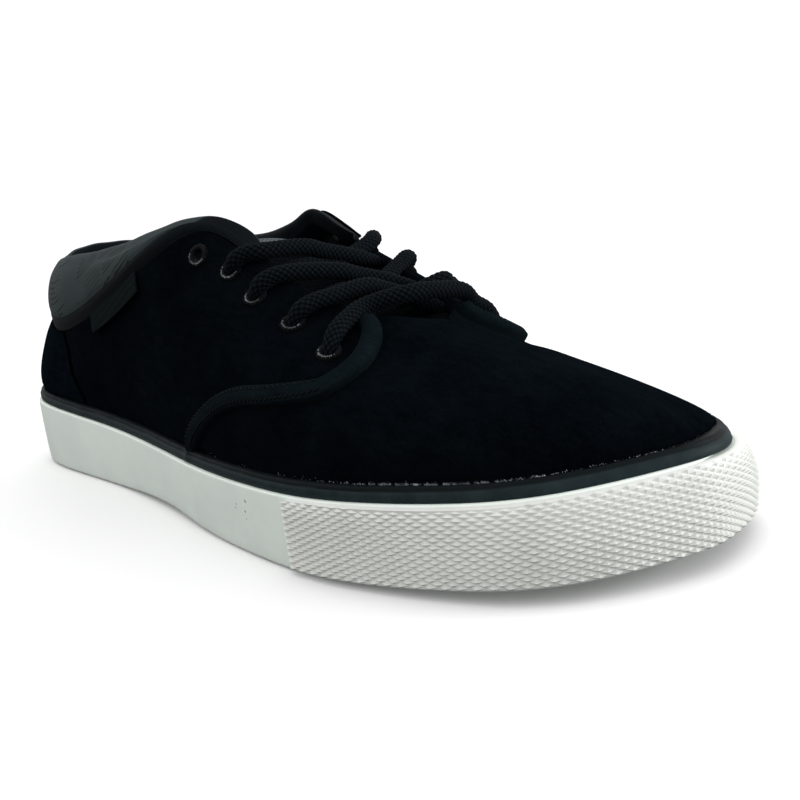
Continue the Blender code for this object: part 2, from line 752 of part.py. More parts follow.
def build_insole(group, skin):
    u = ring_columns()
    n = len(u)
    edge = -(UPPER_INSET + UPPER_WALL + SEAT_GAP)
    rings = []
    profile = [(edge - INSOLE_EASE, 0.0), (edge, INSOLE_EASE)]
    profile += [(edge, INSOLE_THICK - INSOLE_EASE), (edge - INSOLE_EASE, INSOLE_THICK)]
    for offset, rise in profile:
        flat = outline(u, offset)
        rings.append(np.column_stack([flat, floor_height(flat[:, 0]) + SEAT_GAP + rise]))
    points = np.concatenate(rings)
    faces = []
    for level in range(len(rings) - 1):
        for k in range(n):
            m = (k + 1) % n
            faces.append((level * n + k, level * n + m, (level + 1) * n + m, (level + 1) * n + k))
    half = n // 2
    for base in (0, (len(rings) - 1) * n):
        faces.append((base, base + 1, base + n - 1))
        for k in range(1, half - 1):
            faces.append((base + k, base + k + 1, base + n - k - 1, base + n - k))
        faces.append((base + half - 1, base + half, base + half + 1))
    return add_object("insole", mesh_from("insole", points, faces), group, skin)


def tube(path):
    # Round cord along a path, narrowed at its flat ends.
    along = unit(np.gradient(path, axis=0))
    side = np.cross(along[0], UP)
    if np.linalg.norm(side) < 0.2:
        side = np.cross(along[0], np.array([1.0, 0.0, 0.0]))
    turns = 2.0 * math.pi * np.arange(LACE_SIDES) / LACE_SIDES
    radius = np.full(len(path), LACE_RADIUS)
    radius[[0, -1]] *= LACE_TIP
    sections = []
    for spot, way, reach in zip(path, along, radius):
        side = side - way * side.dot(way)
        side /= np.linalg.norm(side)
        other = np.cross(way, side)
        ring = np.cos(turns)[:, None] * side + np.sin(turns)[:, None] * other
        sections.append(spot + ring * reach)
    return sections


def eyelet_start(index, mirrored):
    # First points of a strand: it stands on the eyelet, then bends over towards the throat.
    _, u, t = EYELETS[index]
    edge_rib = u + EDGE_SHIFT[index]
    if mirrored:
        u = COUNT - u
        edge_rib = COUNT - edge_rib
    foot = EYELET_RISE + SEAT_GAP * 2.8
    first = surface(u, t, foot)[0]
    second = surface(u, t + 0.008, foot + LACE_STAND)[0]
    room = EDGE_CLEAR_MEDIAL[index] if mirrored else EDGE_CLEAR[index]
    bow = LACE_BOW_MEDIAL if mirrored else LACE_BOW
    edge = surface(edge_rib, NEAR_CREST, LACE_RADIUS + room)[0]
    third = 0.5 * (second + edge) + lean(u, t)[0] * bow
    return [first, second, third, edge]


def strand(index, mirrored, centre_x, centre_z):
    # One strand from its eyelet over the throat to the foot of the other flap.
    start = eyelet_start(index, mirrored)
    middle = np.array([centre_x, 0.0, centre_z])
    _, far_u, _ = EYELETS[index + 1]
    far_u = far_u if mirrored else COUNT - far_u
    far_edge = bare_surface(far_u, 1.0)[0]
    far = middle + (far_edge - middle) * FAR_SHARE
    far[2] = 0.5 * (centre_z + far_edge[2]) - 0.2
    last = middle + (far_edge - middle) * LAST_SHARE
    last[2] = far[2] - 0.8
    ease = np.array(EASE_UNDER) if mirrored else np.array(EASE_OVER) * (1.0, -1.0, 1.0)
    points = start + [middle + ease, middle, far, last]
    return path_spline(points, STRAND_SECTIONS)


def build_crossing(name, index, centre_x, centre_z, group, skin, cutters):
    upper_path = strand(index, False, centre_x, centre_z)
    lower_path = strand(index, True, centre_x, centre_z - LACE_STACK)
    top = add_object(name, loft(name, tube(upper_path)), group, skin)
    under = name + "_under"
    low = add_object(under, loft(under, tube(lower_path)), cutters, skin)
    low.hide_render = True
    low.display_type = "WIRE"
    join = top.modifiers.new("joined", "BOOLEAN")
    join.operation = "UNION"
    join.solver = "EXACT"
    join.object = low
    return top


def build_bar(group, skin):
    lateral = eyelet_start(4, False)
    medial = eyelet_start(4, True)
    middle = [np.array(spot) for spot in LACE_BAR_MIDDLE]
    path = path_spline(lateral + middle + medial[::-1], BAR_SECTIONS)
    return add_object("lace_bar", loft("lace_bar", tube(path)), group, skin)


def build_tag(group, skin):
    path = path_spline([row[1:] for row in TAG], TAG_SECTIONS)
    u = path[:, 0]
    t = path[:, 1]
    top = surface(u, t, SEAT_GAP)
    normals = lean(u, t)
    down = unit(np.cross(np.gradient(top, axis=0), normals))
    if down[:, 2].mean() > 0.0:
        down = -down
    sections = []
    for spot, normal, way in zip(top, normals, down):
        low = spot + way * TAG_TALL
        tip = low + normal * TAG_TIP
        sections.append(np.array([spot + normal * TAG_SEAT, spot + normal * TAG_RISE,
                                  tip + normal * TAG_RISE, tip + normal * TAG_SEAT]))
    return add_object("side_tag", loft("side_tag", sections), group, skin)


def main():
    clear_scene()
    parts = bpy.data.collections.new("low_sneaker")
    cutters = bpy.data.collections.new("cutters")
    bpy.context.scene.collection.children.link(parts)
    bpy.context.scene.collection.children.link(cutters)
    white_rubber = material("white_rubber", (0.78, 0.79, 0.76), 0.55)
    bumper_rubber = material("bumper_rubber", (0.80, 0.80, 0.78), 0.6)
    black_rubber = material("black_rubber", (0.03, 0.032, 0.034), 0.45)
    suede = material("black_suede", (0.012, 0.014, 0.018), 0.9)
    band_suede = material("band_suede", (0.02, 0.023, 0.027), 0.8)
    cuff = material("collar_fabric", (0.10, 0.11, 0.11), 0.6)
    tongue_cloth = material("tongue_fabric", (0.02, 0.022, 0.028), 0.85)
    footbed = material("insole_fabric", (0.03, 0.03, 0.035), 0.9)
    thread = material("eyelet_thread", (0.05, 0.052, 0.055), 0.7)
    cord = material("lace_braid", (0.02, 0.022, 0.026), 0.75)
    woven = material("tag_weave", (0.03, 0.033, 0.035), 0.8)
    build_sole(parts, white_rubber)
    build_bumper(parts, bumper_rubber)
    build_stripe(parts, black_rubber)
    upper = build_upper(parts, suede)
    cut_eyelets(upper, cutters, suede)
    build_collar(parts, cuff)
    build_band("quarter_band_lateral", False, parts, band_suede)
    build_band("quarter_band_medial", True, parts, band_suede)
    build_tongue(parts, tongue_cloth)
    build_insole(parts, footbed)
    build_eyelets(parts, thread)
    for name, index, centre_x, centre_z in CROSSINGS:
        build_crossing(name, index, centre_x, centre_z, parts, cord, cutters)
    build_bar(parts, cord)
    build_tag(parts, woven)


main()
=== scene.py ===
import math

import bmesh
import bpy
import numpy as np
from mathutils import Matrix, Vector


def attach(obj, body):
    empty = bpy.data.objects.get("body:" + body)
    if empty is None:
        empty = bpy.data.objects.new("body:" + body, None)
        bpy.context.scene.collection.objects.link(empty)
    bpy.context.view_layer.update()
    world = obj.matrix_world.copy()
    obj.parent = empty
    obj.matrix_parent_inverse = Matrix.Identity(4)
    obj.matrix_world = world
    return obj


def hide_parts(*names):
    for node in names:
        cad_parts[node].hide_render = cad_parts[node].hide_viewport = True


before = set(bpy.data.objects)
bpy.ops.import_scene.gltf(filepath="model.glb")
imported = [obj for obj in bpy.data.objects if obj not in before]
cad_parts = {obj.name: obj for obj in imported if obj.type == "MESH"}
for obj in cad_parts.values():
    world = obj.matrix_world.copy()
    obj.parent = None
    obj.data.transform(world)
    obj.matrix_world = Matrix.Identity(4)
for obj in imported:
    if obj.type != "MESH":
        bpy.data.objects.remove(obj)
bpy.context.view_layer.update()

MM = 0.001
UP = np.array([0.0, 0.0, 1.0])

# Place of the part's origin in the frame of the ribs
X_MID = 150.11
Y_MID = -1.96

# Sizes shared with the solids, in millimetres, ribs and shares
UPPER_INSET = 3.3
UPPER_WALL = 2.0
SEAT_GAP = 0.35
SIDEWALL = 3.0
SIDE_TAPER = 0.5
STRIPE_TALL = 4.2
STRIPE_OUTER = 1.0
STRIPE_INNER = 2.9
TOE_FLARE = 5.4
FLARE_PEAK = 0.66
FLARE_TUCK = 0.03
FLARE_START_X = 225.0
FLARE_RUN = 60.0
TOE_SPRING = 5.6
SPRING_START_X = 190.0
SPRING_RUN = 105.0
ARCH_RELIEF = 1.4
ARCH_X = 118.0
ARCH_HALF = 48.0
FLOOR_HEEL = 11.5
FLOOR_TOE = 8.0
FLOOR_EASE_X = 60.0
FLOOR_EASE_RUN = 150.0
EDGE_ROUND = 1.2
INSOLE_THICK = 4.0
BUMPER_RIB = 7.05
BAND_HALF = 2.8
BAND_RISE = 2.0
BAND_SHIFT_TOP = 0.95
BAND_SHIFT_RUN = 0.25
EYELET_HOLE = 2.1
LACE_RADIUS = 2.6
TONGUE_THICK = 4.0
COLLAR_END_RIB = 6.18
COLLAR_FADE = 0.3
COLLAR_PAD = 8.5
COLLAR_BULGE = 1.4
SPINE_RIBS = 2.5
SPINE_EASE = 0.5
SPINE_TIP = 0.9

# Sizes of the looks only, or set closer to the photograph than in the solids
STRIPE_LEAN = 1.6
EDGE_DIP = 1.1
EDGE_DIP_RIB = 9.3
EDGE_DIP_RUN = 1.2
RIM_PUSH = 2.8
RIM_PUSH_RIB = 12.35
RIM_PUSH_RUN = 0.7
BAND_FOOT = 1.7
BAND_ROLL_WIDE = 0.05
BAND_ROLL_RISE = (0.7, 0.9)
BAND_STITCH_FROM = 0.42
BAND_MEDIAL_BACK = 0.22
EYELET_OUTER = 3.7
TONGUE_MEDIAL_DROP = 3.5
COLLAR_ROUND = 0.28
COLLAR_INNER_ROW = 34
COLLAR_PINCH = 1.3
COLLAR_PINCH_RUN = 0.10
FLAP_PRESS = 2.0
FLAP_PRESS_RIB = 16.4
FLAP_PRESS_RUN = 0.9
# Height along a rib where a strand of lace passes the flap's edge
FLAP_EDGE = 0.985
# Normals of the form: step along a rib, and the height above which they stay as they are
LEAN_STEP = 0.004
LEAN_TOP = 0.985

RIB_COLUMNS = ("sole_x", "sole_y", "edge_z", "crest_x", "crest_y", "crest_z",
               "base_out", "base_up", "top_out", "top_up", "collar_drop")
RIBS = (
    ("heel_back", 1.0, 0.0, 29.4, 9.0, 0.0, 79.2, 1.6, 12.0, 0.5, -17.0, 16.0),
    ("heel_round_lat", 8.4, -25.6, 29.2, 18.3, -14.4, 77.0, 3.2, 11.5, -2.0, -17.0, 17.0),
    ("heel_lat", 38.7, -34.0, 27.9, 41.0, -24.5, 79.0, 1.8, 15.0, 0.8, -17.0, 26.0),
    ("rear_lat", 80.1, -36.2, 26.0, 80.0, -28.0, 82.9, 1.5, 19.0, 3.0, -18.0, 18.8),
    ("waist_lat", 118.0, -41.5, 24.5, 116.0, -29.0, 89.6, 1.5, 20.0, 5.0, -16.0, 10.0),
    ("eyelet_lat", 139.0, -46.2, 24.5, 139.0, -24.5, 92.2, 1.5, 20.0, 9.0, -11.0, 3.6),
    ("quarter_lat", 164.0, -51.2, 24.9, 155.0, -20.5, 85.2, 1.5, 20.0, 13.0, -9.0, 2.4),
    ("ball_lat", 200.0, -55.2, 25.9, 178.0, -21.5, 72.8, 1.5, 19.0, 17.0, -9.0, 0.0),
    ("throat_lat", 229.0, -53.2, 27.6, 201.0, -13.5, 62.8, 1.5, 17.0, 24.0, -7.0, 0.0),
    ("vamp_lat", 253.0, -44.8, 29.1, 216.0, 1.5, 58.2, 1.5, 13.0, 27.0, -1.5, 0.0),
    ("toe_lat", 275.5, -29.5, 30.2, 239.0, 4.0, 51.8, 1.0, 11.0, 24.0, -2.6, 0.0),
    ("tip_lat", 290.0, -5.4, 30.6, 252.0, 5.8, 48.0, 1.0, 9.0, 21.0, -5.0, 0.0),
    ("tip_med", 291.9, 10.0, 30.3, 252.0, 5.8, 48.0, 1.0, 7.0, 17.0, -6.0, 0.0),
    ("toe_med", 282.4, 33.4, 28.6, 239.0, 4.0, 51.8, 0.0, 3.5, 13.5, -7.0, 0.0),
    ("vamp_med", 257.0, 47.0, 27.6, 216.0, 1.5, 58.2, 0.5, 4.5, 15.0, -7.0, 0.0),
    ("throat_med", 230.0, 51.4, 26.6, 206.0, 13.5, 60.6, 0.5, 9.0, 14.5, -11.0, 0.0),
    ("ball_med", 198.0, 49.7, 25.8, 180.0, 21.0, 70.4, 1.5, 18.0, 15.0, -9.0, 0.0),
    ("quarter_med", 162.0, 44.7, 24.8, 155.5, 20.0, 83.0, 1.5, 20.0, 12.0, -9.0, 3.0),
    ("eyelet_med", 138.0, 41.2, 24.5, 138.5, 22.0, 89.0, 1.5, 20.0, 9.0, -11.0, 4.0),
    ("waist_med", 117.0, 38.8, 24.5, 118.0, 26.0, 82.6, 1.5, 20.0, 5.0, -16.0, 9.4),
    ("rear_med", 80.0, 37.1, 26.0, 80.0, 28.5, 79.0, 1.5, 18.0, 3.0, -16.0, 16.0),
    ("heel_med", 38.3, 35.4, 27.9, 41.0, 25.5, 79.2, 1.6, 15.0, 2.0, -16.0, 23.0),
    ("heel_round_med", 11.0, 22.9, 29.2, 17.5, 15.0, 80.0, 2.0, 12.0, 1.0, -17.0, 17.0),
)
COUNT = len(RIBS)
TOE_RIB = COUNT / 2.0
COL = {name: k for k, name in enumerate(RIB_COLUMNS)}
CREST = slice(COL["crest_x"], COL["crest_z"] + 1)
VALUES = np.array([row[1:] for row in RIBS])

# Eyelets from the top down: rib number on the lateral side and height along it
EYELETS = (
    ("1", 5.22, 0.788),
    ("2", 6.04, 0.803),
    ("3", 6.615, 0.788),
    ("4", 7.245, 0.785),
    ("5", 7.774, 0.699),
)

# Raised band along the front of each quarter: rib number and height along it
BAND_PATH = (
    ("throat", 7.90, 0.955),
    ("corner", 8.05, 0.913),
    ("front_high", 8.17, 0.843),
    ("front", 8.196, 0.725),
    ("front_low", 8.074, 0.616),
    ("turn", 7.76, 0.493),
    ("back_1", 7.40, 0.430),
    ("back_2", 6.95, 0.369),
    ("back_3", 6.63, 0.333),
    ("drop_1", 6.24, 0.273),
    ("drop_2", 5.79, 0.178),
    ("drop_3", 5.43, 0.088),
    ("sole", 5.22, 0.010),
)

# Tongue stations: ribs away from the toe, sag below the flaps, lowest height used on the ribs,
# and how much further under the flaps it lies to pass the collar
TONGUE = (
    ("root", 1.9, 0.0, 0.86, 0.0),
    ("under_vamp", 2.5, 0.0, 0.82, 0.0),
    ("throat", 3.0, 1.0, 0.80, 0.0),
    ("bar", 3.5, 3.6, 0.80, 0.0),
    ("row_4", 4.0, 7.4, 0.80, 0.0),
    ("row_3", 4.5, 8.6, 0.80, 0.0),
    ("row_2", 5.0, 8.4, 0.80, 0.4),
    ("row_1", 5.45, 5.8, 0.82, 2.6),
    ("top", 5.95, 0.0, 0.86, 4.2),
)

# Lace crossings: eyelet the strands start from, centre x, height of the upper strand there
CROSSINGS = (
    (1, 166.0, 78.4),
    (2, 180.3, 71.2),
    (3, 191.8, 66.9),
)
LAST_EYELET = len(EYELETS) - 1
LACE_STACK = 4.7
LACE_BAR_MIDDLE = ((206.5, -6.0, 67.2), (207.5, 5.0, 66.4))
LACE_STEP = 0.45
LACE_SIDES = 48
LACE_CARRIERS = 8
LACE_PITCH = 1.8
# Per eyelet: how many ribs ahead of it a strand crosses the flap edge, and the room under it there
EDGE_SHIFT = (0.0, 0.34, 0.26, 0.24, 0.12)
EDGE_ROOM = (0.9, -0.4, -0.4, -0.4, 0.0)
EDGE_ROOM_MEDIAL = (0.3, -2.4, -3.6, 0.4, 1.6)
# A strand between its eyelet and the flap edge: share of the way, and lift beyond its own radius
LACE_CLIMB = ((0.26, -0.2), (0.62, 0.3))
LACE_CLIMB_MEDIAL = ((0.26, -0.2), (0.62, -0.9))
# Past the middle of the throat: side step, rise before it, and drop after it
LACE_EASE = (7.0, 2.4)
LACE_EASE_UNDER = (8.5, 1.2)
LACE_FALL = 2.0
LACE_FALL_UNDER = 0.2

# Woven tag on the lateral quarter: rib number and height along it for its upper edge
TAG = (
    ("rear", 2.825, 0.636),
    ("middle", 3.286, 0.723),
    ("front", 3.766, 0.804),
)
TAG_TALL = 7.5

# Small dark marks on the outer sidewall: place in the part's frame and reach, in metres
MARK_SHADE = (0.13, 0.15, 0.14)
MARKS = (
    (0.0322, -0.0516, 0.0166, 0.0007),
    (0.0266, -0.0509, 0.0147, 0.0005),
    (0.0259, -0.0508, 0.0135, 0.0005),
    (0.0314, -0.0515, 0.0134, 0.0006),
    (0.0314, -0.0514, 0.0112, 0.0005),
)

# Heel seam: rib number at each height along the rib
HEEL_SEAM = (
    ("sole", 2.43, 0.0),
    ("low", 2.25, 0.205),
    ("middle", 2.20, 0.38),
    ("high", 2.02, 0.545),
    ("collar", 1.97, 0.70),
)
# Distance between ribs near the seam, one that is far from it, and the seam's shade
RIB_GAP = 27.0
SEAM_FAR = 100.0
SEAM_SHADE = (0.0001, 0.0002, 0.0004)

# Soft creases across the vamp and quarters: plan ends, depth and half width
CREASES = (
    ("flex_front", 236.0, -40.0, 229.0, 40.0, 0.35, 4.5),
    ("flex_middle", 224.0, -46.0, 219.0, 44.0, 0.45, 5.0),
    ("flex_rear", 211.0, -51.0, 209.0, 46.0, 0.30, 4.0),
    ("quarter_lat", 120.0, -44.0, 96.0, -34.0, 0.40, 5.0),
    ("waist_lat", 98.0, -40.0, 70.0, -31.0, 0.30, 6.0),
    ("quarter_med", 122.0, 42.0, 98.0, 34.0, 0.40, 5.0),
)

# Crumbs on the dark line: rib in the middle, spread in ribs, how many, usual size
CRUMBS = (
    (8.6, 0.35, 620, 0.12),
    (9.3, 0.40, 560, 0.11),
    (7.6, 0.35, 120, 0.08),
    (10.4, 0.45, 120, 0.08),
    (11.3, 0.5, 70, 0.08),
    (6.5, 0.5, 50, 0.07),
    (14.5, 1.2, 70, 0.07),
)

# A stitch gets painted highlight where the cosine of its angle to the lit side is above this
HIGHLIGHT_ARC = 0.1

# Diamonds of the toe bumper: size, rise, share of it at the top edge, margins there, ledge and plate
DIAMOND_LONG = 4.2
DIAMOND_TALL = 1.86
DIAMOND_RISE = 0.95
DIAMOND_TOP_SHARE = 0.6
DIAMOND_TOP_RUN = 4.0
DIAMOND_MARGIN = 0.15
DIAMOND_MARGIN_SIDE = 0.8
LEDGE_RIB = 8.85
LEDGE_RUN = 1.0
PLATE_OUT = 0.95


# The form

def ring_bends(values):
    # Second derivatives of a closed cubic spline whose rows are one unit apart.
    n = len(values)
    grid = np.zeros((n, n))
    for i in range(n):
        grid[i, i] = 4.0
        grid[i, (i + 1) % n] += 1.0
        grid[i, (i - 1) % n] += 1.0
    change = np.roll(values, -1, 0) - 2.0 * values + np.roll(values, 1, 0)
    return np.linalg.solve(grid, 6.0 * change)


BENDS = ring_bends(VALUES)


def as_row(u):
    return np.atleast_1d(np.asarray(u, float))


def spline_rows(values, bends, low, high, share):
    # Cubic spline between two rows, from the rows and their second derivatives.
    f = share[:, None]
    g = 1.0 - f
    bend = (g ** 3 - g) * bends[low] + (f ** 3 - f) * bends[high]
    return g * values[low] + f * values[high] + bend / 6.0


def rib(u):
    u = as_row(u) % COUNT
    low = np.floor(u).astype(int) % COUNT
    return spline_rows(VALUES, BENDS, low, (low + 1) % COUNT, u - np.floor(u))


def outward(u):
    u = as_row(u)
    along = rib(u + 0.001)[:, :2] - rib(u - 0.001)[:, :2]
    normal = np.column_stack([along[:, 1], -along[:, 0]])
    return normal / np.linalg.norm(normal, axis=1)[:, None]


OUT_SIGN = -1.0 if outward(0.0)[0, 0] > 0.0 else 1.0


def plan_out(u):
    flat = outward(u) * OUT_SIGN
    return np.column_stack([flat, np.zeros(len(flat))])


def unit(v):
    return v / np.linalg.norm(v, axis=-1)[..., None]


def smooth(x):
    x = np.clip(x, 0.0, 1.0)
    return x * x * (3.0 - 2.0 * x)


def bell(x, middle, run):
    # A soft hump: 1 in its middle and close to 0 two runs away.
    return np.exp(-((x - middle) / run) ** 2)


def full_turn(count):
    return 2.0 * math.pi * np.arange(count) / count


def quarter_turn(count):
    return np.linspace(0.0, 0.5 * math.pi, count)


def column(ribs, name):
    # One named value of each rib, as a column.
    return ribs[:, COL[name]][:, None]


def crest_pull(u):
    # Way in which a rib leaves its crest.
    r = rib(u)
    return plan_out(u) * column(r, "top_out") + UP * column(r, "top_up")


def spine(away):
    # Line along the top of the vamp, by ribs away from the toe.
    return 0.5 * (rib(TOE_RIB - away) + rib(TOE_RIB + away))[:, CREST]


def spine_normal(away):
    # Upright of the vamp on that line, shared by the two ribs that meet there.
    away = np.maximum(away, SPINE_TIP)
    across = unit(crest_pull(TOE_RIB - away)) - unit(crest_pull(TOE_RIB + away))
    normal = unit(np.cross(spine(away + 0.01) - spine(away - 0.01), across))
    normal[normal[:, 2] < 0.0] *= -1.0
    return normal


def bare_surface(u, t):
    # A cubic curve from the feather edge to the crest on each rib.
    u = as_row(u)
    r = rib(u)
    out = plan_out(u)
    start = r[:, :3] - out * UPPER_INSET
    crest = r[:, CREST].copy()
    away = np.abs(u % COUNT - TOE_RIB)
    joined = away <= SPINE_RIBS + 0.001
    crest[joined] = spine(away[joined])
    pull = crest_pull(u)
    upright = spine_normal(np.minimum(away, SPINE_RIBS))
    share = smooth((SPINE_RIBS - away) / SPINE_EASE)
    pull = pull - upright * ((pull * upright).sum(1) * share)[:, None]
    low = start + out * column(r, "base_out") + UP * column(r, "base_up")
    high = crest + pull
    t = np.broadcast_to(as_row(t), (len(r),))[:, None]
    s = 1.0 - t
    return s ** 3 * start + 3.0 * s * s * t * low + 3.0 * s * t * t * high + t ** 3 * crest


def lean(u, t):
    # Outward normal of the form.
    u = as_row(u)
    t = np.broadcast_to(as_row(t), u.shape)
    low = np.clip(t - LEAN_STEP, 0.0, LEAN_TOP)
    high = np.clip(t + LEAN_STEP, 1.0 - LEAN_TOP, 1.0)
    rise = bare_surface(u, high) - bare_surface(u, low)
    near = np.minimum(t, LEAN_TOP)
    along = bare_surface(u + 0.01, near) - bare_surface(u - 0.01, near)
    normal = unit(np.cross(along, rise))
    facing = (normal * plan_out(u)).sum(1) + normal[:, 2] * 0.5
    normal[facing < 0.0] *= -1.0
    return normal


def surface(u, t, lift=0.0):
    u = as_row(u)
    t = np.broadcast_to(as_row(t), u.shape)
    lift = np.broadcast_to(as_row(lift), u.shape)
    return bare_surface(u, t) + lean(u, t) * lift[:, None]


def from_heel(u):
    # Ribs away from the heel, counted alike on both sides.
    u = as_row(u) % COUNT
    return np.minimum(u, COUNT - u)


def collar_drop(u):
    fade = smooth((COLLAR_END_RIB + 0.5 * COLLAR_FADE - from_heel(u)) / COLLAR_FADE)
    return np.maximum(rib(u)[:, COL["collar_drop"]], 0.0) * fade


def collar_line(u, extra=0.0):
    # Height along the rib where the suede stops and the collar starts.
    u = as_row(u)
    drop = collar_drop(u) + extra
    goal = bare_surface(u, 1.0)[:, 2] - drop
    low = np.zeros(len(u))
    high = np.ones(len(u))
    for _ in range(36):
        middle = 0.5 * (low + high)
        under = bare_surface(u, middle)[:, 2] < goal
        low = np.where(under, middle, low)
        high = np.where(under, high, middle)
    return np.where(drop < 0.05, 1.0, high)


def edge_dip(u):
    # The dark line runs a little lower round the outer forefoot.
    return EDGE_DIP * bell(as_row(u), EDGE_DIP_RIB, EDGE_DIP_RUN)


def white_top(u):
    return rib(u)[:, COL["edge_z"]] - edge_dip(u) - STRIPE_TALL


def ground(x):
    spring = TOE_SPRING * np.clip((x - SPRING_START_X) / SPRING_RUN, 0.0, None) ** 2
    arch = ARCH_RELIEF * smooth(1.0 - np.abs(x - ARCH_X) / ARCH_HALF)
    return np.where(x > SPRING_START_X, spring, arch)


def floor_height(x):
    share = smooth((x - FLOOR_EASE_X) / FLOOR_EASE_RUN)
    return ground(x) + FLOOR_HEEL * (1.0 - share) + FLOOR_TOE * share


def toe_share(u):
    return smooth((rib(u)[:, 0] - FLARE_START_X) / FLARE_RUN)


def wall_out(u, level):
    # Plan offset of the sidewall: level 0 at the ground, 1 at the white edge. It is full at the toe.
    down = 1.0 - level
    above = (down - FLARE_PEAK) / FLARE_PEAK
    below = (down - FLARE_PEAK) / (1.0 - FLARE_PEAK)
    short = np.where(down < FLARE_PEAK, above ** 2, FLARE_TUCK * below ** 2)
    return TOE_FLARE * toe_share(u) * (1.0 - short) - SIDE_TAPER * down + rim_push(u) * level ** 2


def rim_push(u):
    # The wall's upper edge stands a little further out on the inner side of the toe.
    return RIM_PUSH * bell(u, RIM_PUSH_RIB, RIM_PUSH_RUN)


def outline(u, offset):
    u = as_row(u)
    return rib(u)[:, :2] + plan_out(u)[:, :2] * np.broadcast_to(offset, u.shape)[:, None]


def ring_at(u, offset, z):
    # Points beside the outline, each at its own height.
    return np.column_stack([outline(u, offset), z])


def path_spline(values, samples):
    # Smooth open curve through the rows, evenly sampled by row number.
    values = np.asarray(values, float)
    n = len(values)
    grid = np.eye(n)
    rhs = np.zeros_like(values)
    for i in range(1, n - 1):
        grid[i, i - 1:i + 2] = (1.0, 4.0, 1.0)
        rhs[i] = 6.0 * (values[i + 1] - 2.0 * values[i] + values[i - 1])
    bends = np.linalg.solve(grid, rhs)
    u = np.linspace(0.0, n - 1.0, samples)
    low = np.minimum(np.floor(u).astype(int), n - 2)
    return spline_rows(values, bends, low, low + 1, u - low)


def run_length(points):
    # Length along a line up to each of its points, or along many lines at once.
    steps = np.linalg.norm(np.diff(points, axis=0), axis=-1)
    return np.concatenate([np.zeros((1, *steps.shape[1:])), np.cumsum(steps, axis=0)])


def along_path(values, run, places):
    # Values at given lengths along a line.
    return np.column_stack([np.interp(places, run, values[:, k]) for k in range(values.shape[1])])


def even_path(points, step):
    # The same line with its points a set step apart.
    run = run_length(points)
    count = max(int(run[-1] / step), 2)
    return along_path(points, run, np.linspace(0.0, run[-1], count + 1))


# Meshes and pieces

def to_metres(points):
    return (np.asarray(points, float) - np.array([X_MID, Y_MID, 0.0])) * MM


def grid_faces(rows, cols, wrap_rows=False, wrap_cols=False):
    i, k = np.meshgrid(np.arange(rows if wrap_rows else rows - 1),
                       np.arange(cols if wrap_cols else cols - 1), indexing="ij")
    j = (i + 1) % rows
    m = (k + 1) % cols
    return np.stack([i * cols + k, i * cols + m, j * cols + m, j * cols + k], -1).reshape(-1, 4)


def make_mesh(name, points, faces, uv=None, weld=0.0, sharp=None, flip=None):
    # Mesh from points in millimetres. flip None turns a closed mesh's faces outward.
    mesh = bpy.data.meshes.new(name)
    mesh.from_pydata(to_metres(points).tolist(), [], [list(face) for face in faces])
    if uv is not None:
        layer = mesh.uv_layers.new(name="form")
        corner = np.zeros(len(mesh.loops), int)
        mesh.loops.foreach_get("vertex_index", corner)
        layer.data.foreach_set("uv", np.asarray(uv, np.float32)[corner].ravel())
    work = bmesh.new()
    work.from_mesh(mesh)
    if weld > 0.0:
        bmesh.ops.remove_doubles(work, verts=work.verts, dist=weld * MM)
        bmesh.ops.dissolve_degenerate(work, edges=work.edges, dist=1e-7)
    if flip is None:
        bmesh.ops.recalc_face_normals(work, faces=work.faces)
        if work.calc_volume(signed=True) < 0.0:
            bmesh.ops.reverse_faces(work, faces=work.faces)
    elif flip:
        bmesh.ops.reverse_faces(work, faces=work.faces)
    work.to_mesh(mesh)
    work.free()
    mesh.shade_smooth()
    if sharp is not None:
        mesh.set_sharp_from_angle(angle=math.radians(sharp))
    return mesh


def add_piece(name, mesh, skins, nodes=()):
    item = bpy.data.objects.new(name, mesh)
    bpy.context.scene.collection.objects.link(item)
    for skin in skins:
        mesh.materials.append(skin)
    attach(item, "root")
    if nodes:
        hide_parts(*nodes)
    return item


def loft_faces(rows, width, closed_path=False):
    # Faces over closed sections; open ends get caps.
    faces = [tuple(f) for f in grid_faces(rows, width, closed_path, True)]
    if not closed_path:
        faces.append(tuple(range(width)))
        faces.append(tuple((rows - 1) * width + k for k in reversed(range(width))))
    return faces


def loft(name, sections, uv=None, closed_path=False, sharp=None):
    sections = np.asarray(sections, float)
    faces = loft_faces(*sections.shape[:2], closed_path)
    flat_uv = None if uv is None else np.asarray(uv).reshape(-1, 2)
    return make_mesh(name, sections.reshape(-1, 3), faces, uv=flat_uv, sharp=sharp)


def bridge_faces(base, n):
    # Faces across a closed ring of points, from one side to the other.
    return [(base + k, base + k + 1, base + (n - k - 1) % n, base + (n - k) % n) for k in range(n // 2)]


# A thread from end to end: share of its length and share of its radius there
THREAD_SHAPE = ((0.0, 0.05), (0.1, 0.7), (0.3, 1.0), (0.7, 1.0), (0.9, 0.7), (1.0, 0.05))
THREAD_BOW = 0.6
STITCH_START = 0.4


def capsules(name, starts, ends, normals, radius, flat=0.8, sides=6):
    # One joined mesh of short round-ended threads.
    along = unit(ends - starts)
    side = unit(np.cross(along, normals))
    lift = np.cross(side, along)
    points = []
    for place, fat in THREAD_SHAPE:
        bow = 4.0 * place * (1.0 - place) * radius * THREAD_BOW
        centre = starts + (ends - starts) * place + lift * bow
        for turn in full_turn(sides):
            way = side * math.cos(turn) + lift * math.sin(turn) * flat
            points.append(centre + way * radius * fat)
    points = np.stack(points, 1)
    count, per = points.shape[:2]
    ring = loft_faces(len(THREAD_SHAPE), sides)
    faces = [tuple(i * per + k for k in face) for i in range(count) for face in ring]
    return make_mesh(name, points.reshape(-1, 3), faces)


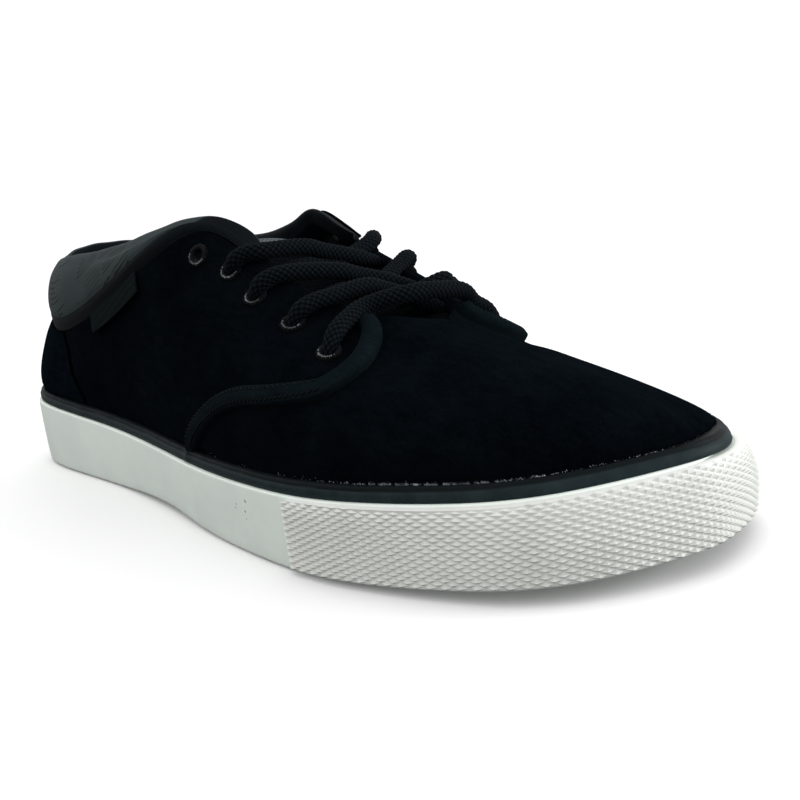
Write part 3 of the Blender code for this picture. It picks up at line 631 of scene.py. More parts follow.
def stitch_ends(path, normals, length, pitch, slant):
    # Starts and ends of running stitches along a line of points.
    run = run_length(path)
    first = np.arange(STITCH_START, run[-1] - length, pitch)
    starts = along_path(path, run, first)
    ends = along_path(path, run, first + length)
    up = unit(along_path(normals, run, first))
    side = unit(np.cross(up, ends - starts))
    return starts - side * slant, ends + side * slant, up


# Materials

class Look:
    # A Principled material with small helpers for its texture nodes.
    def __init__(self, name, colour, roughness, **sockets):
        self.made = bpy.data.materials.new(name)
        self.made.use_nodes = True
        self.tree = self.made.node_tree
        self.shader = self.tree.nodes["Principled BSDF"]
        self.shader.inputs["Base Color"].default_value = (*colour, 1.0)
        self.shader.inputs["Roughness"].default_value = roughness
        for key, value in sockets.items():
            self.shader.inputs[key.replace("_", " ")].default_value = value
        self.place = self.node("ShaderNodeTexCoord").outputs["Object"]
        self.last_bump = None

    def node(self, kind, **values):
        # A new node. The names of its inputs are given with underscores for spaces.
        item = self.tree.nodes.new(kind)
        for key, value in values.items():
            item.inputs[key.replace("_", " ")].default_value = value
        return item

    def join(self, source, target):
        self.tree.links.new(source, target)

    def feed(self, kind, source, socket="Vector", **values):
        # Outputs of a new node that takes one source.
        item = self.node(kind, **values)
        self.join(source, item.inputs[socket])
        return item.outputs

    def stretch(self, source, scale, turn):
        return self.feed("ShaderNodeMapping", source, Scale=scale, Rotation=turn)["Vector"]

    def noise(self, scale, detail=2.0, rough=0.5, source=None):
        return self.feed("ShaderNodeTexNoise", source or self.place, Scale=scale, Detail=detail,
                         Roughness=rough)["Fac"]

    def cells(self, scale, out):
        return self.feed("ShaderNodeTexVoronoi", self.place, Scale=scale)[out]

    def span(self, source, low, high, to_low=0.0, to_high=1.0):
        return self.feed("ShaderNodeMapRange", source, "Value", From_Min=low, From_Max=high,
                         To_Min=to_low, To_Max=to_high)["Result"]

    def math(self, kind, a, b):
        item = self.node("ShaderNodeMath")
        item.operation = kind
        for k, value in enumerate((a, b)):
            if isinstance(value, float):
                item.inputs[k].default_value = value
            else:
                self.join(value, item.inputs[k])
        return item.outputs[0]

    def mix(self, share, low, high):
        item = self.node("ShaderNodeMix")
        item.data_type = "RGBA"
        self.join(share, item.inputs["Factor"])
        for key, value in (("A", low), ("B", high)):
            socket = [s for s in item.inputs if s.name == key and s.type == "RGBA"][0]
            if isinstance(value, tuple):
                socket.default_value = (*value, 1.0)
            else:
                self.join(value, socket)
        return [s for s in item.outputs if s.type == "RGBA"][0]

    def colour(self, source):
        self.join(source, self.shader.inputs["Base Color"])

    def rough(self, source):
        self.join(source, self.shader.inputs["Roughness"])

    def bump(self, height, distance, strength):
        item = self.node("ShaderNodeBump", Strength=strength, Distance=distance)
        self.join(height, item.inputs["Height"])
        if self.last_bump is not None:
            self.join(self.last_bump, item.inputs["Normal"])
        self.last_bump = item.outputs["Normal"]
        self.join(self.last_bump, self.shader.inputs["Normal"])

    def form(self):
        # The mesh's own form coordinates.
        item = self.node("ShaderNodeUVMap")
        item.uv_map = "form"
        return item.outputs["UV"]

    def split(self, source):
        return self.feed("ShaderNodeSeparateXYZ", source)

    def specks(self, scale, rare, far, near):
        # A few round dots: how rare they are, and the distances over which they end.
        chosen = self.span(self.cells(scale, "Color"), rare, rare + 0.005)
        return self.math("MULTIPLY", chosen, self.span(self.cells(scale, "Distance"), far, near))


# Noise scales are per metre, or per millimetre on form coordinates, and bump heights are in metres

def suede(name, dark, pale, specks=True, heel=None):
    look = Look(name, dark, 0.92, Sheen_Weight=0.005, Sheen_Roughness=0.4,
                Sheen_Tint=(0.5, 0.75, 0.95, 1.0), Specular_IOR_Level=0.0)
    nap = look.noise(45.0, detail=5.0, rough=0.62)
    combed = look.stretch(look.place, (0.35, 1.0, 1.0), turn=(0.0, 0.3, 0.5))
    brushed = look.noise(420.0, detail=3.0, rough=0.6, source=combed)
    grain = look.noise(1100.0, detail=2.0, rough=0.6)
    tone = look.math("ADD", look.math("MULTIPLY", nap, 0.55), look.math("MULTIPLY", brushed, 0.3))
    tone = look.math("ADD", tone, look.math("MULTIPLY", grain, 0.25))
    patch = look.span(tone, 0.36, 0.74)
    shade = look.mix(patch, dark, pale)
    if heel:
        past = look.split(look.form())["X"]
        shade = look.mix(look.span(past, 0.6, -0.6), shade, look.mix(patch, *heel))
        shade = look.mix(look.span(look.math("MULTIPLY", past, past), 0.8, 0.1), shade, SEAM_SHADE)
    if specks:
        shade = look.mix(look.specks(330.0, rare=0.975, far=0.1, near=0.06), shade, (0.20, 0.22, 0.24))
    look.colour(shade)
    look.bump(look.noise(2400.0, detail=3.0, rough=0.7), distance=0.00035, strength=0.7)
    look.bump(brushed, distance=0.0006, strength=0.35)
    return look.made


def rubber_white(name, colour, grime, marks=()):
    look = Look(name, colour, 0.5, Specular_IOR_Level=0.4)
    stain = look.span(look.noise(38.0, detail=5.0, rough=0.65), 0.42, 0.75)
    shade = look.mix(stain, colour, grime)
    shade = look.mix(look.specks(170.0, rare=0.955, far=0.085, near=0.05), shade, (0.10, 0.10, 0.09))
    for x, y, z, wide in marks:
        far = look.node("ShaderNodeVectorMath")
        far.operation = "DISTANCE"
        look.join(look.place, far.inputs[0])
        far.inputs[1].default_value = (x, y, z)
        shade = look.mix(look.span(far.outputs["Value"], wide, 0.3 * wide), shade, MARK_SHADE)
    look.colour(shade)
    look.rough(look.span(look.noise(120.0, detail=3.0), 0.3, 0.7, to_low=0.42, to_high=0.6))
    look.bump(look.noise(900.0, detail=2.0), distance=0.0001, strength=0.5)
    return look.made


def rubber_black():
    # Satin rubber: a worn face of uneven tone, and above it a darker shoulder that is painted shade under
    # the suede's edge.
    look = Look("black_rubber_look", (0.016, 0.020, 0.022), 0.5, Specular_IOR_Level=0.03)
    rub = look.noise(160.0, detail=4.0, rough=0.65)
    # The top share of the stripe's height is darkened: painted shade under the suede's edge
    shoulder_shade = look.span(look.split(look.form())["Y"], 0.62 * STRIPE_TALL, 0.72 * STRIPE_TALL)
    face = look.mix(look.span(rub, 0.35, 0.8), (0.011, 0.018, 0.020), (0.021, 0.031, 0.034))
    look.colour(look.mix(shoulder_shade, face, (0.006, 0.0085, 0.0095)))
    look.rough(look.span(rub, 0.3, 0.75, to_low=0.38, to_high=0.58))
    look.bump(look.noise(1400.0, detail=2.0), distance=0.00012, strength=0.5)
    return look.made


# Wave length of Blender's wave texture at scale 1
WAVE_LONG = 0.314


def weave(name, dark, pale, pitch):
    # Plain woven cloth: two crossed wave sets in the shoe's own space.
    look = Look(name, dark, 0.85, Sheen_Weight=0.003, Specular_IOR_Level=0.01)
    often = WAVE_LONG / (pitch * MM) / 2.0
    waves = []
    for turn in ((0.0, 0.0, 0.0), (0.0, 0.9, 1.57)):
        place = look.stretch(look.place, (1.0, 1.0, 1.0), turn)
        wave = look.feed("ShaderNodeTexWave", place, Scale=often, Distortion=0.6, Detail_Scale=2.0)
        waves.append(wave["Fac"])
    cross = look.math("MULTIPLY", waves[0], waves[1])
    look.colour(look.mix(look.span(cross, 0.05, 0.8), dark, pale))
    look.bump(cross, distance=0.0004, strength=0.6)
    return look.made


# Print of the collar, in millimetres: strokes per millimetre, group sizes, binding edge, start of the inside
PRINT_TURN = -0.22
STROKES = 0.52
GROUP_LONG = 14.0
GROUP_TALL = 12.0
GROUP_GAP = 1.1
BINDING_EDGE = (4.9, 5.2)
INSIDE_EDGE = (50.0, 58.0)
PLAIN = (0.0, 0.0, 0.0, 1.0)
PRINTED = (1.0, 1.0, 1.0, 1.0)


def collar_cloth():
    # Dark coated cloth with slanted strokes in groups, and a smooth binding along its lower edge.
    look = Look("collar_cloth_look", (0.04, 0.048, 0.05), 0.6, Specular_IOR_Level=0.03)
    place = look.form()
    turned = look.stretch(place, (1.0, 1.0, 1.0), turn=(0.0, 0.0, PRINT_TURN))
    wander = look.math("MULTIPLY", look.noise(0.06, detail=2.0, source=place), 0.8)
    height = look.math("MULTIPLY", look.split(turned)["Y"], STROKES)
    line = look.math("FRACT", look.math("ADD", height, wander), 0.0)
    stroke = look.span(look.math("ABSOLUTE", look.math("SUBTRACT", line, 0.5), 0.0), 0.20, 0.12)
    group = look.feed("ShaderNodeTexBrick", turned, Scale=1.0, Color1=PLAIN, Color2=PRINTED, Mortar=PLAIN,
                      Brick_Width=GROUP_LONG, Row_Height=GROUP_TALL, Mortar_Size=GROUP_GAP)
    chosen = look.span(group["Color"], 0.42, 0.47)
    broken = look.span(look.noise(0.10, detail=2.0, source=place), 0.40, 0.47)
    print_share = look.math("MULTIPLY", look.math("MULTIPLY", stroke, chosen), broken)
    across = look.split(place)["Y"]
    above = look.span(across, *BINDING_EDGE)
    inside = look.span(across, *INSIDE_EDGE)
    cloth = look.mix(look.noise(90.0, detail=3.0), (0.022, 0.030, 0.031), (0.031, 0.041, 0.042))
    shade = look.mix(look.math("MULTIPLY", print_share, above), cloth, (0.006, 0.008, 0.009))
    shade = look.mix(above, (0.0024, 0.0040, 0.0050), shade)
    shade = look.mix(inside, shade, (0.003, 0.005, 0.0065))
    look.colour(shade)
    look.bump(look.noise(2200.0, detail=2.0), distance=0.0002, strength=0.5)
    return look.made


def thread(name, dark, pale, gloss, shine):
    look = Look(name, dark, gloss, Sheen_Weight=0.01, Specular_IOR_Level=shine)
    look.colour(look.mix(look.span(look.noise(500.0, detail=3.0), 0.35, 0.7), dark, pale))
    look.bump(look.noise(3000.0, detail=2.0), distance=0.0002, strength=0.6)
    return look.made


def braid():
    # Round braided cord: painted shade between the strands and painted highlight on their backs, set by the
    # braid's height.
    look = Look("lace_look", (0.004, 0.006, 0.008), 0.75, Sheen_Weight=0.008, Specular_IOR_Level=0.02)
    # Braid height from the form map: low is painted shade in the gaps, high is painted highlight on the
    # strands
    crown = look.span(look.split(look.form())["X"], 0.45, 0.98)
    back = look.mix(look.noise(700.0, detail=3.0), (0.0036, 0.0062, 0.0088), (0.0076, 0.0120, 0.0158))
    look.colour(look.mix(crown, (0.0004, 0.0008, 0.0014), back))
    look.bump(look.noise(3000.0, detail=2.0), distance=0.0002, strength=0.6)
    return look.made


# Pieces

def ring_ribs(count):
    return np.arange(count) * COUNT / count


# Sole: points round it and across its underside, swell of its wall, bead along its top edge
SOLE_COLUMNS = 720
SOLE_ACROSS = 52
WALL_SWELL = 0.25
TOP_BEAD = 0.5
# Tread: pitch of zigzag and grooves, half width between grooves, softness, depth, plain border and its run
ZIGZAG_PITCH = 9.0
GROOVE_PITCH = 6.5
GROOVE_FROM = 2.1
GROOVE_SOFT = 0.5
GROOVE_DEEP = 1.0
TREAD_BORDER = 6.0
TREAD_BORDER_RUN = 1.5


def build_sole(skin):
    n = SOLE_COLUMNS
    half = n // 2
    u = ring_ribs(n)
    top = white_top(u)
    bottom = ground(rib(u)[:, 0])
    low = outline(u, wall_out(u, 0.0) - 2.0 * EDGE_ROUND)
    rings = [np.column_stack([low, ground(low[:, 0])])]
    for turn in quarter_turn(6):
        offset = wall_out(u, 0.0) - EDGE_ROUND * (1.0 - math.sin(turn))
        rings.append(ring_at(u, offset, bottom + EDGE_ROUND * (1.0 - math.cos(turn))))
    for level in np.linspace(0.1, 0.96, 12):
        swell = WALL_SWELL * math.sin(math.pi * level)
        rings.append(ring_at(u, wall_out(u, level) + swell, bottom + (top - bottom) * level))
    for turn in quarter_turn(5):
        offset = -TOP_BEAD * (1.0 - math.cos(turn))
        rings.append(ring_at(u, offset, top - TOP_BEAD + TOP_BEAD * math.sin(turn)))
    inner = outline(u, -SIDEWALL)
    rings.append(np.column_stack([inner, top]))
    rings.append(np.column_stack([inner, floor_height(inner[:, 0])]))
    points = np.concatenate(rings)
    faces = [tuple(f) for f in grid_faces(len(rings), n, False, True)]
    faces += bridge_faces((len(rings) - 1) * n, n)
    share = np.linspace(0.0, 1.0, SOLE_ACROSS)
    under = []
    for k in range(half + 1):
        under.append(rings[0][k] * (1.0 - share[:, None]) + rings[0][(n - k) % n] * share[:, None])
    under = np.array(under)
    wide = np.linalg.norm(under[:, -1] - under[:, 0], axis=1)
    edge = np.outer(wide, np.minimum(share, 1.0 - share)).ravel()
    spot = under.reshape(-1, 3)
    zigzag = np.abs(((spot[:, 1] / ZIGZAG_PITCH) % 1.0) - 0.5) * ZIGZAG_PITCH
    beside = np.abs(((spot[:, 0] + zigzag) / GROOVE_PITCH % 1.0) - 0.5) * GROOVE_PITCH
    groove = smooth((beside - GROOVE_FROM) / GROOVE_SOFT)
    well_in = smooth((edge - TREAD_BORDER) / TREAD_BORDER_RUN)
    spot[:, 2] = ground(spot[:, 0]) + GROOVE_DEEP * groove * well_in
    faces += [tuple(f) for f in grid_faces(half + 1, SOLE_ACROSS) + len(points)]
    mesh = make_mesh("sole_skin", np.concatenate([points, spot]), faces, weld=0.002, sharp=50.0)
    add_piece("sole_skin", mesh, [skin], ["sole"])


# Black stripe: gap, foot (offset and height), face (offset and share of its height), round top, back
STRIPE_GAP = 0.1
STRIPE_FOOT = ((-0.25, 0.0), (0.0, 0.35))
STRIPE_FACE = ((0.1, 0.35), (0.05, 0.56), (-0.12, 0.64), (-0.38, 0.68))
STRIPE_SHOULDER = 0.45
STRIPE_ROUND = 0.8
STRIPE_BACK = 0.6
# Bumps over the ends of the band and the heel seam: rise, ribs from the heel, run; height of their fade
STRIPE_BUMPS = ((0.75, 5.22, 0.10), (0.45, 2.43, 0.12))
STRIPE_BUMP_FADE = 2.0
# Waves of its top edge: height, radians by rib and start
STRIPE_WAVES = ((0.06, 5.3, 0.0), (0.04, 13.7, 1.0))


def build_stripe(skin):
    u = ring_ribs(SOLE_COLUMNS)
    foot = white_top(u) + STRIPE_GAP
    head = rib(u)[:, COL["edge_z"]] - edge_dip(u)
    bump = sum(rise * bell(from_heel(u), place, run) for rise, place, run in STRIPE_BUMPS)
    wave = sum(high * np.sin(u * often + start) for high, often, start in STRIPE_WAVES)
    tilt = STRIPE_LEAN * toe_share(u)
    profile = list(STRIPE_FOOT)
    profile += [(offset, share * STRIPE_TALL) for offset, share in STRIPE_FACE]
    for turn in quarter_turn(6):
        offset = -STRIPE_SHOULDER - STRIPE_ROUND * (1.0 - math.cos(turn))
        profile.append((offset, STRIPE_TALL - STRIPE_ROUND + STRIPE_ROUND * math.sin(turn)))
    rows = []
    for offset, height in profile:
        share = height / STRIPE_TALL
        lift = bump * smooth(height / STRIPE_BUMP_FADE) - tilt * share
        reach = rim_push(u) - STRIPE_OUTER + offset + lift
        rows.append(ring_at(u, reach, foot + (head - foot + wave) * share))
    inner = outline(u, -STRIPE_INNER - STRIPE_BACK - tilt * 0.5)
    rows += [np.column_stack([inner, head - STRIPE_GAP]), np.column_stack([inner, foot])]
    heights = np.array([height for _, height in profile] + [STRIPE_TALL, 0.0])
    uv = np.stack(np.meshgrid(u, heights, indexing="ij"), -1)
    mesh = loft("stripe_skin", np.stack(rows, 1), uv=uv, closed_path=True, sharp=50.0)
    add_piece("stripe_skin", mesh, [skin], ["foxing_stripe"])


# Bumper plate: corner radius, edge, depth in the wall, room below and above, run of its ends
BUMPER_CORNER = 4.5
BUMPER_EDGE = 0.25
BUMPER_SUNK = 0.8
BUMPER_LOW = 0.7
BUMPER_HIGH = 0.4
BUMPER_END_RUN = 0.8
# Points along the plate and up it, and along the wall that measures it
BUMPER_COLUMNS = 300
BUMPER_ROWS = 26
BUMPER_SAMPLES = 1600
# Smooth ledge along its top: rise, height and softness
LEDGE_RISE = 0.45
LEDGE_TALL = 1.5
LEDGE_SOFT = 0.9
# Points that measure a way up the wall, and the step that finds its normal
CLIMB_SAMPLES = 60
NORMAL_STEP = 0.05


def bumper_run():
    # Length along the sole's wall against rib number, for the toe part.
    u = np.linspace(BUMPER_RIB, COUNT - BUMPER_RIB, BUMPER_SAMPLES)
    return u, run_length(outline(u, 1.0 + wall_out(u, 0.5)))


BUMPER_RIBS, BUMPER_RUN = bumper_run()
BUMPER_LONG = BUMPER_RUN[-1]


def bumper_rib(s):
    return np.interp(s, BUMPER_RUN, BUMPER_RIBS)


def wall_point(s, z, extra):
    # Point by length along the toe's wall and by height, an extra distance out from it.
    u = bumper_rib(s)
    low = ground(rib(u)[:, 0])
    return ring_at(u, wall_out(u, (z - low) / (white_top(u) - low)) + extra, z)


def wall_normal(s, z):
    # Direction square to the plate, leaning up where the wall turns in.
    across = unit(wall_point(s, z, PLATE_OUT + 2.0 * NORMAL_STEP) - wall_point(s, z, PLATE_OUT))
    rise = unit(wall_point(s, z + NORMAL_STEP, PLATE_OUT) - wall_point(s, z - NORMAL_STEP, PLATE_OUT))
    return unit(across - rise * np.sum(across * rise, axis=1, keepdims=True))


def ledge_share(s):
    # The smooth upper ledge shows beside the ball of the foot only.
    return bell(from_heel(bumper_rib(s)), LEDGE_RIB, LEDGE_RUN)


def plate_limits(s):
    # Lowest and highest point of the plate, with a round corner at each end.
    u = bumper_rib(s)
    end = np.clip(np.minimum(s, BUMPER_LONG - s), 0.0, BUMPER_CORNER)
    cut = BUMPER_CORNER - np.sqrt(np.maximum(BUMPER_CORNER ** 2 - (BUMPER_CORNER - end) ** 2, 0.0))
    return ground(rib(u)[:, 0]) + BUMPER_LOW + cut * 0.5, white_top(u) - BUMPER_HIGH - cut


def climb(s, low, high):
    # Heights up the wall at each place, and the length along the wall to each of them.
    z = low[:, None] + (high - low)[:, None] * np.linspace(0.0, 1.0, CLIMB_SAMPLES)
    spots = wall_point(np.repeat(s, CLIMB_SAMPLES), z.ravel(), PLATE_OUT)
    return z, run_length(spots.reshape(len(s), CLIMB_SAMPLES, 3).transpose(1, 0, 2)).T


def bumper_plate():
    # Closed sections of the plate, from one end to the other.
    ease = BUMPER_CORNER * (1.0 - np.cos(quarter_turn(9)))
    middle = np.linspace(BUMPER_CORNER, BUMPER_LONG - BUMPER_CORNER, BUMPER_COLUMNS)
    places = np.concatenate([ease[:-1], middle, BUMPER_LONG - ease[-2::-1]])
    shares = np.concatenate([[0.0, 0.0], np.linspace(0.02, 0.98, BUMPER_ROWS), [1.0, 1.0]])
    heights, lengths = climb(places, *plate_limits(places))
    levels = np.array([np.interp(shares * run[-1], run, tall) for tall, run in zip(heights, lengths)])
    end = smooth(np.minimum(places, BUMPER_LONG - places) / BUMPER_END_RUN)
    rows = []
    for k, share in enumerate(shares):
        down = lengths[:, -1] * (1.0 - share)
        ledge = smooth((LEDGE_TALL - down) / LEDGE_SOFT) * LEDGE_RISE * ledge_share(places)
        extra = BUMPER_EDGE + (PLATE_OUT - BUMPER_EDGE + ledge) * end
        if k in (0, len(shares) - 1):
            extra = -BUMPER_SUNK
        elif k in (1, len(shares) - 2):
            extra = BUMPER_EDGE
        rows.append(wall_point(places, levels[:, k], extra))
    return np.stack(rows, 1)


# Diamonds: most rows, foot over the ground, room above the plate's lower edge, flat top, depth in the plate
DIAMOND_ROWS = 34
DIAMOND_FOOT = 0.9
DIAMOND_ROOM = 0.6
DIAMOND_FLAT = 0.12
DIAMOND_SUNK = 0.1
DIAMOND_WAYS = ((1.0, 0.0), (0.0, 1.0), (-1.0, 0.0), (0.0, -1.0))


def bumper_diamonds():
    # Four foot corners and four top corners of every diamond.
    columns = int(BUMPER_LONG / (0.5 * DIAMOND_LONG))
    step = BUMPER_LONG / columns
    half_tall = 0.5 * DIAMOND_TALL
    places = step * np.arange(1, columns)
    low, high = plate_limits(places)
    foot = ground(rib(bumper_rib(places))[:, 0]) + DIAMOND_FOOT
    heights, lengths = climb(places, foot, high)
    margin = DIAMOND_MARGIN + DIAMOND_MARGIN_SIDE * ledge_share(places)
    centres = []
    for i, s in enumerate(places):
        for j in range((i + 1) % 2, DIAMOND_ROWS, 2):
            under, z, over = np.interp(half_tall * np.array([j - 1.0, j, j + 1.0]), lengths[i], heights[i])
            room = lengths[i, -1] - half_tall * j
            if z > low[i] + DIAMOND_ROOM and half_tall * j < lengths[i, -1] - margin[i]:
                centres.append((s, z, over - z, max(z - under, 0.5 * half_tall), room))
    s, z, above, below, room = np.array(centres).T
    full = smooth(room / DIAMOND_TOP_RUN)
    peak = DIAMOND_RISE * (DIAMOND_TOP_SHARE + (1.0 - DIAMOND_TOP_SHARE) * full)
    corners = []
    for share, rise in ((1.0, np.full(len(s), -DIAMOND_SUNK)), (DIAMOND_FLAT, peak)):
        for ahead, up in DIAMOND_WAYS:
            along = s + ahead * step * share
            level = z + up * (above if up > 0.0 else below) * share
            corners.append(wall_point(along, level, PLATE_OUT) + wall_normal(along, level) * rise[:, None])
    return np.stack(corners, 1)


def build_bumper(skin):
    plate = bumper_plate()
    blocks = bumper_diamonds()
    faces = loft_faces(*plate.shape[:2])
    points = np.concatenate([plate.reshape(-1, 3), blocks.reshape(-1, 3)])
    for b in range(plate.shape[0] * plate.shape[1], len(points), 8):
        faces += [(b + k, b + (k + 1) % 4, b + 4 + (k + 1) % 4, b + 4 + k) for k in range(4)]
        faces.append((b + 4, b + 5, b + 6, b + 7))
        faces.append((b + 3, b + 2, b + 1, b))
    mesh = make_mesh("bumper_skin", points, faces, sharp=24.0)
    add_piece("bumper_skin", mesh, [skin], ["toe_bumper"])


def heel_seam_rib(t):
    rows = np.array([row[1:] for row in HEEL_SEAM])
    return np.interp(t, rows[:, 1], rows[:, 0])


def heel_gap(u, t):
    # Distance in millimetres ahead of the heel seam, less than 0 on the heel panel.
    return (from_heel(u) - heel_seam_rib(t)) * RIB_GAP


def band_line(samples, mirrored):
    path = path_spline([row[1:] for row in BAND_PATH], samples)
    u, t = path.T
    shift = BAND_MEDIAL_BACK * smooth((BAND_SHIFT_TOP - t) / BAND_SHIFT_RUN)
    return (COUNT - u + shift if mirrored else u), t


# Heel panel: its step and the width of the slope, the roll behind its edge, the seam's groove
PANEL_STEP = 0.6
PANEL_SLOPE = 1.6
PANEL_ROLL = 0.3
PANEL_ROLL_PLACE = -2.4
PANEL_ROLL_RUN = 1.2
SEAM_DEEP = 1.2
SEAM_RUN = 1.5
SEAM_EASE = 0.04
# Hollow of the suede ahead of a band and behind it: depth, start beside the band's line, run
HOLLOW_AHEAD = (0.8, 2.0, 5.5)
HOLLOW_BEHIND = (0.35, 2.4, 2.2)
# Creases: wander and its length, how far they run on, fade at their ends, start up the rib
CREASE_WANDER = 1.2
CREASE_WAVE = 9.0
CREASE_PAST = 6.0
CREASE_FADE = 14.0
CREASE_FROM = 0.15
# Height along the rib over which creases, pressed flap and uneven suede come in
# Start of the pressed flap, and height of the uneven suede
LIFT_EASE = 0.2
FLAP_PRESS_FROM = 0.80
UNEVEN = 0.16


def panel_lift(u, t):
    # The heel panel's step and its seam.
    gap = heel_gap(u, t)
    step = PANEL_STEP * (1.0 - smooth((gap + 0.5 * PANEL_SLOPE) / PANEL_SLOPE))
    roll = PANEL_ROLL * bell(gap, PANEL_ROLL_PLACE, PANEL_ROLL_RUN)
    return (step + roll - SEAM_DEEP * bell(gap, 0.0, SEAM_RUN)) * smooth(t / SEAM_EASE)


def hollow(far, depth, start, run):
    return depth * bell(np.maximum(far - start, 0.0), 0.0, run)


def band_hollow(spots, mirrored):
    # How far the suede sinks beside a band.
    u, t = band_line(90, mirrored)
    line = surface(u, t)
    across = unit(np.cross(lean(u, t), np.gradient(line, axis=0))) * (-1.0 if mirrored else 1.0)
    sunk = np.zeros(len(spots))
    for part in np.array_split(np.arange(len(spots)), 12):
        delta = spots[part][:, None, :] - line[None, :, :]
        every = np.linalg.norm(delta, axis=2)
        near = every.argmin(1)
        row = np.arange(len(part))
        far = every[row, near]
        vamp = smooth(((delta[row, near] * across[near]).sum(1) + 1.0) / 2.0)
        sunk[part] = vamp * hollow(far, *HOLLOW_AHEAD) + (1.0 - vamp) * hollow(far, *HOLLOW_BEHIND)
    return sunk


def crease_depth(t, spots):
    total = np.zeros(len(spots))
    for _, ax, ay, bx, by, depth, wide in CREASES:
        way = np.array([bx - ax, by - ay])
        long = np.linalg.norm(way)
        way = way / long
        rel = spots[:, :2] - np.array([ax, ay])
        run = rel @ way
        off = rel[:, 0] * way[1] - rel[:, 1] * way[0] + CREASE_WANDER * np.sin(run / CREASE_WAVE)
        ends = smooth((run + CREASE_PAST) / CREASE_FADE) * smooth((long + CREASE_PAST - run) / CREASE_FADE)
        total += depth * ends * (1.0 - (off / wide) ** 2) * np.exp(-0.5 * (off / wide) ** 2)
    return total * smooth((t - CREASE_FROM) / LIFT_EASE)


def upper_lift(u, t, spots):
    # Steps, seams and creases of the suede, as a lift off the form.
    lift = panel_lift(u, t) - crease_depth(t, spots)
    for mirrored in (False, True):
        lift -= band_hollow(spots, mirrored)
    pressed = bell(u, FLAP_PRESS_RIB, FLAP_PRESS_RUN) * smooth((t - FLAP_PRESS_FROM) / LIFT_EASE)
    x, y, z = spots.T
    uneven = np.sin(x / 17.0 + z / 11.0) * np.sin(y / 13.0 + z / 19.0 + 0.7)
    return lift - FLAP_PRESS * pressed + UNEVEN * uneven * smooth(t / LIFT_EASE)


# Ribs from the heel where the collar's drawn-in seam starts to fade, and the fade's length
PINCH_RIB = 1.4
PINCH_FADE = 1.2


def collar_pinch(u):
    # The seam between suede and collar is drawn in round the heel.
    return COLLAR_PINCH * (1.0 - smooth((from_heel(u) - PINCH_RIB) / PINCH_FADE))


def eyelet_places():
    places = []
    for label, u, t in EYELETS:
        places.append(("lateral_" + label, u, t))
        places.append(("medial_" + label, COUNT - u, t))
    return places


# Upper: points round it and up it, room round an eyelet's hole, a point inside the shoe
UPPER_COLUMNS = 600
UPPER_ROWS = 67
HOLE_ROOM = 0.7
INSIDE_POINT = np.array([150.0, 0.0, 40.0])


def build_upper(skin, lining):
    half = np.linspace(0.0, TOE_RIB, UPPER_COLUMNS // 2 + 1)
    u = np.concatenate([half, COUNT - half[1:-1][::-1]])
    n = len(u)
    grid_u = np.tile(u, UPPER_ROWS)
    grid_stop = np.tile(collar_line(u), UPPER_ROWS)
    grid_t = np.repeat(np.linspace(0.0, 1.0, UPPER_ROWS), n) * grid_stop
    spots = bare_surface(grid_u, grid_t)
    lift = upper_lift(grid_u, grid_t, spots)
    lift -= collar_pinch(grid_u) * bell(grid_stop - grid_t, 0.0, COLLAR_PINCH_RUN)
    spots = spots + lean(grid_u, grid_t) * lift[:, None]
    spots = spots.reshape(UPPER_ROWS, n, 3)
    for k in range(n):
        if abs(u[k] - TOE_RIB) <= SPINE_RIBS + 0.001:
            pair = (n - k) % n
            both = 0.5 * (spots[-1, k] + spots[-1, pair])
            spots[-1, k] = both
            spots[-1, pair] = both
    base = bare_surface(u, 0.0)
    foot = floor_height(base[:, 0]) + SEAT_GAP
    skirt = [np.column_stack([base[:, :2], foot + (base[:, 2] - foot) * part]) for part in (0.0, 0.5)]
    points = np.concatenate([np.array(skirt), spots]).reshape(-1, 3)
    form = np.zeros((len(points), 2))
    form[:2 * n, 0] = SEAM_FAR
    form[2 * n:, 0] = heel_gap(grid_u, grid_t)
    faces = grid_faces(UPPER_ROWS + 2, n, False, True)
    middle = points[faces].mean(1)
    keep = np.ones(len(faces), bool)
    for _, eyelet_u, eyelet_t in eyelet_places():
        far = np.linalg.norm(middle - surface(eyelet_u, eyelet_t)[0], axis=1)
        keep &= far > EYELET_HOLE + HOLE_ROOM
    faces = faces[keep]
    sample = len(faces) // 3
    a, b, c = points[faces[sample][:3]]
    outside = np.dot(np.cross(b - a, c - a), middle[keep][sample] - INSIDE_POINT) > 0.0
    mesh = make_mesh("upper_skin", points, faces, uv=form, weld=0.01, flip=not outside)
    item = add_piece("upper_skin", mesh, [skin, lining], ["upper"])
    shell = item.modifiers.new("wall", "SOLIDIFY")
    shell.thickness = UPPER_WALL * MM
    shell.offset = -1.0
    shell.material_offset = 1
    shell.material_offset_rim = 0


# Collar: points along it and round it, lap over the suede, depth inside by its drop, drop of the full pad
COLLAR_COLUMNS = 300
COLLAR_ROWS = 60
COLLAR_LAP = 0.45
COLLAR_DEEP = 1.5
COLLAR_DEEP_SHARE = 0.35
COLLAR_FULL_DROP = 13.0
# Thickness at its tips, gain away from them, and what these take off the pad
COLLAR_TIP = 0.3
COLLAR_TIP_GAIN = 0.7
COLLAR_PAD_LESS = 3.4
# Binding: groove beside it, place and run; puckers of the cloth above it, with their radians by rib
BINDING_GROOVE = 0.45
BINDING_WIDE = 5.0
BINDING_RUN = 0.55
PUCKER = 0.10
PUCKER_TURN = 9.0
# Print: row measured along, ribs where it ends and fades, and a distance beyond its inner edge
PRINT_ROW = 24
PRINT_RIB = 4.6
PRINT_FADE = 0.7
PRINT_PAST = 60.0


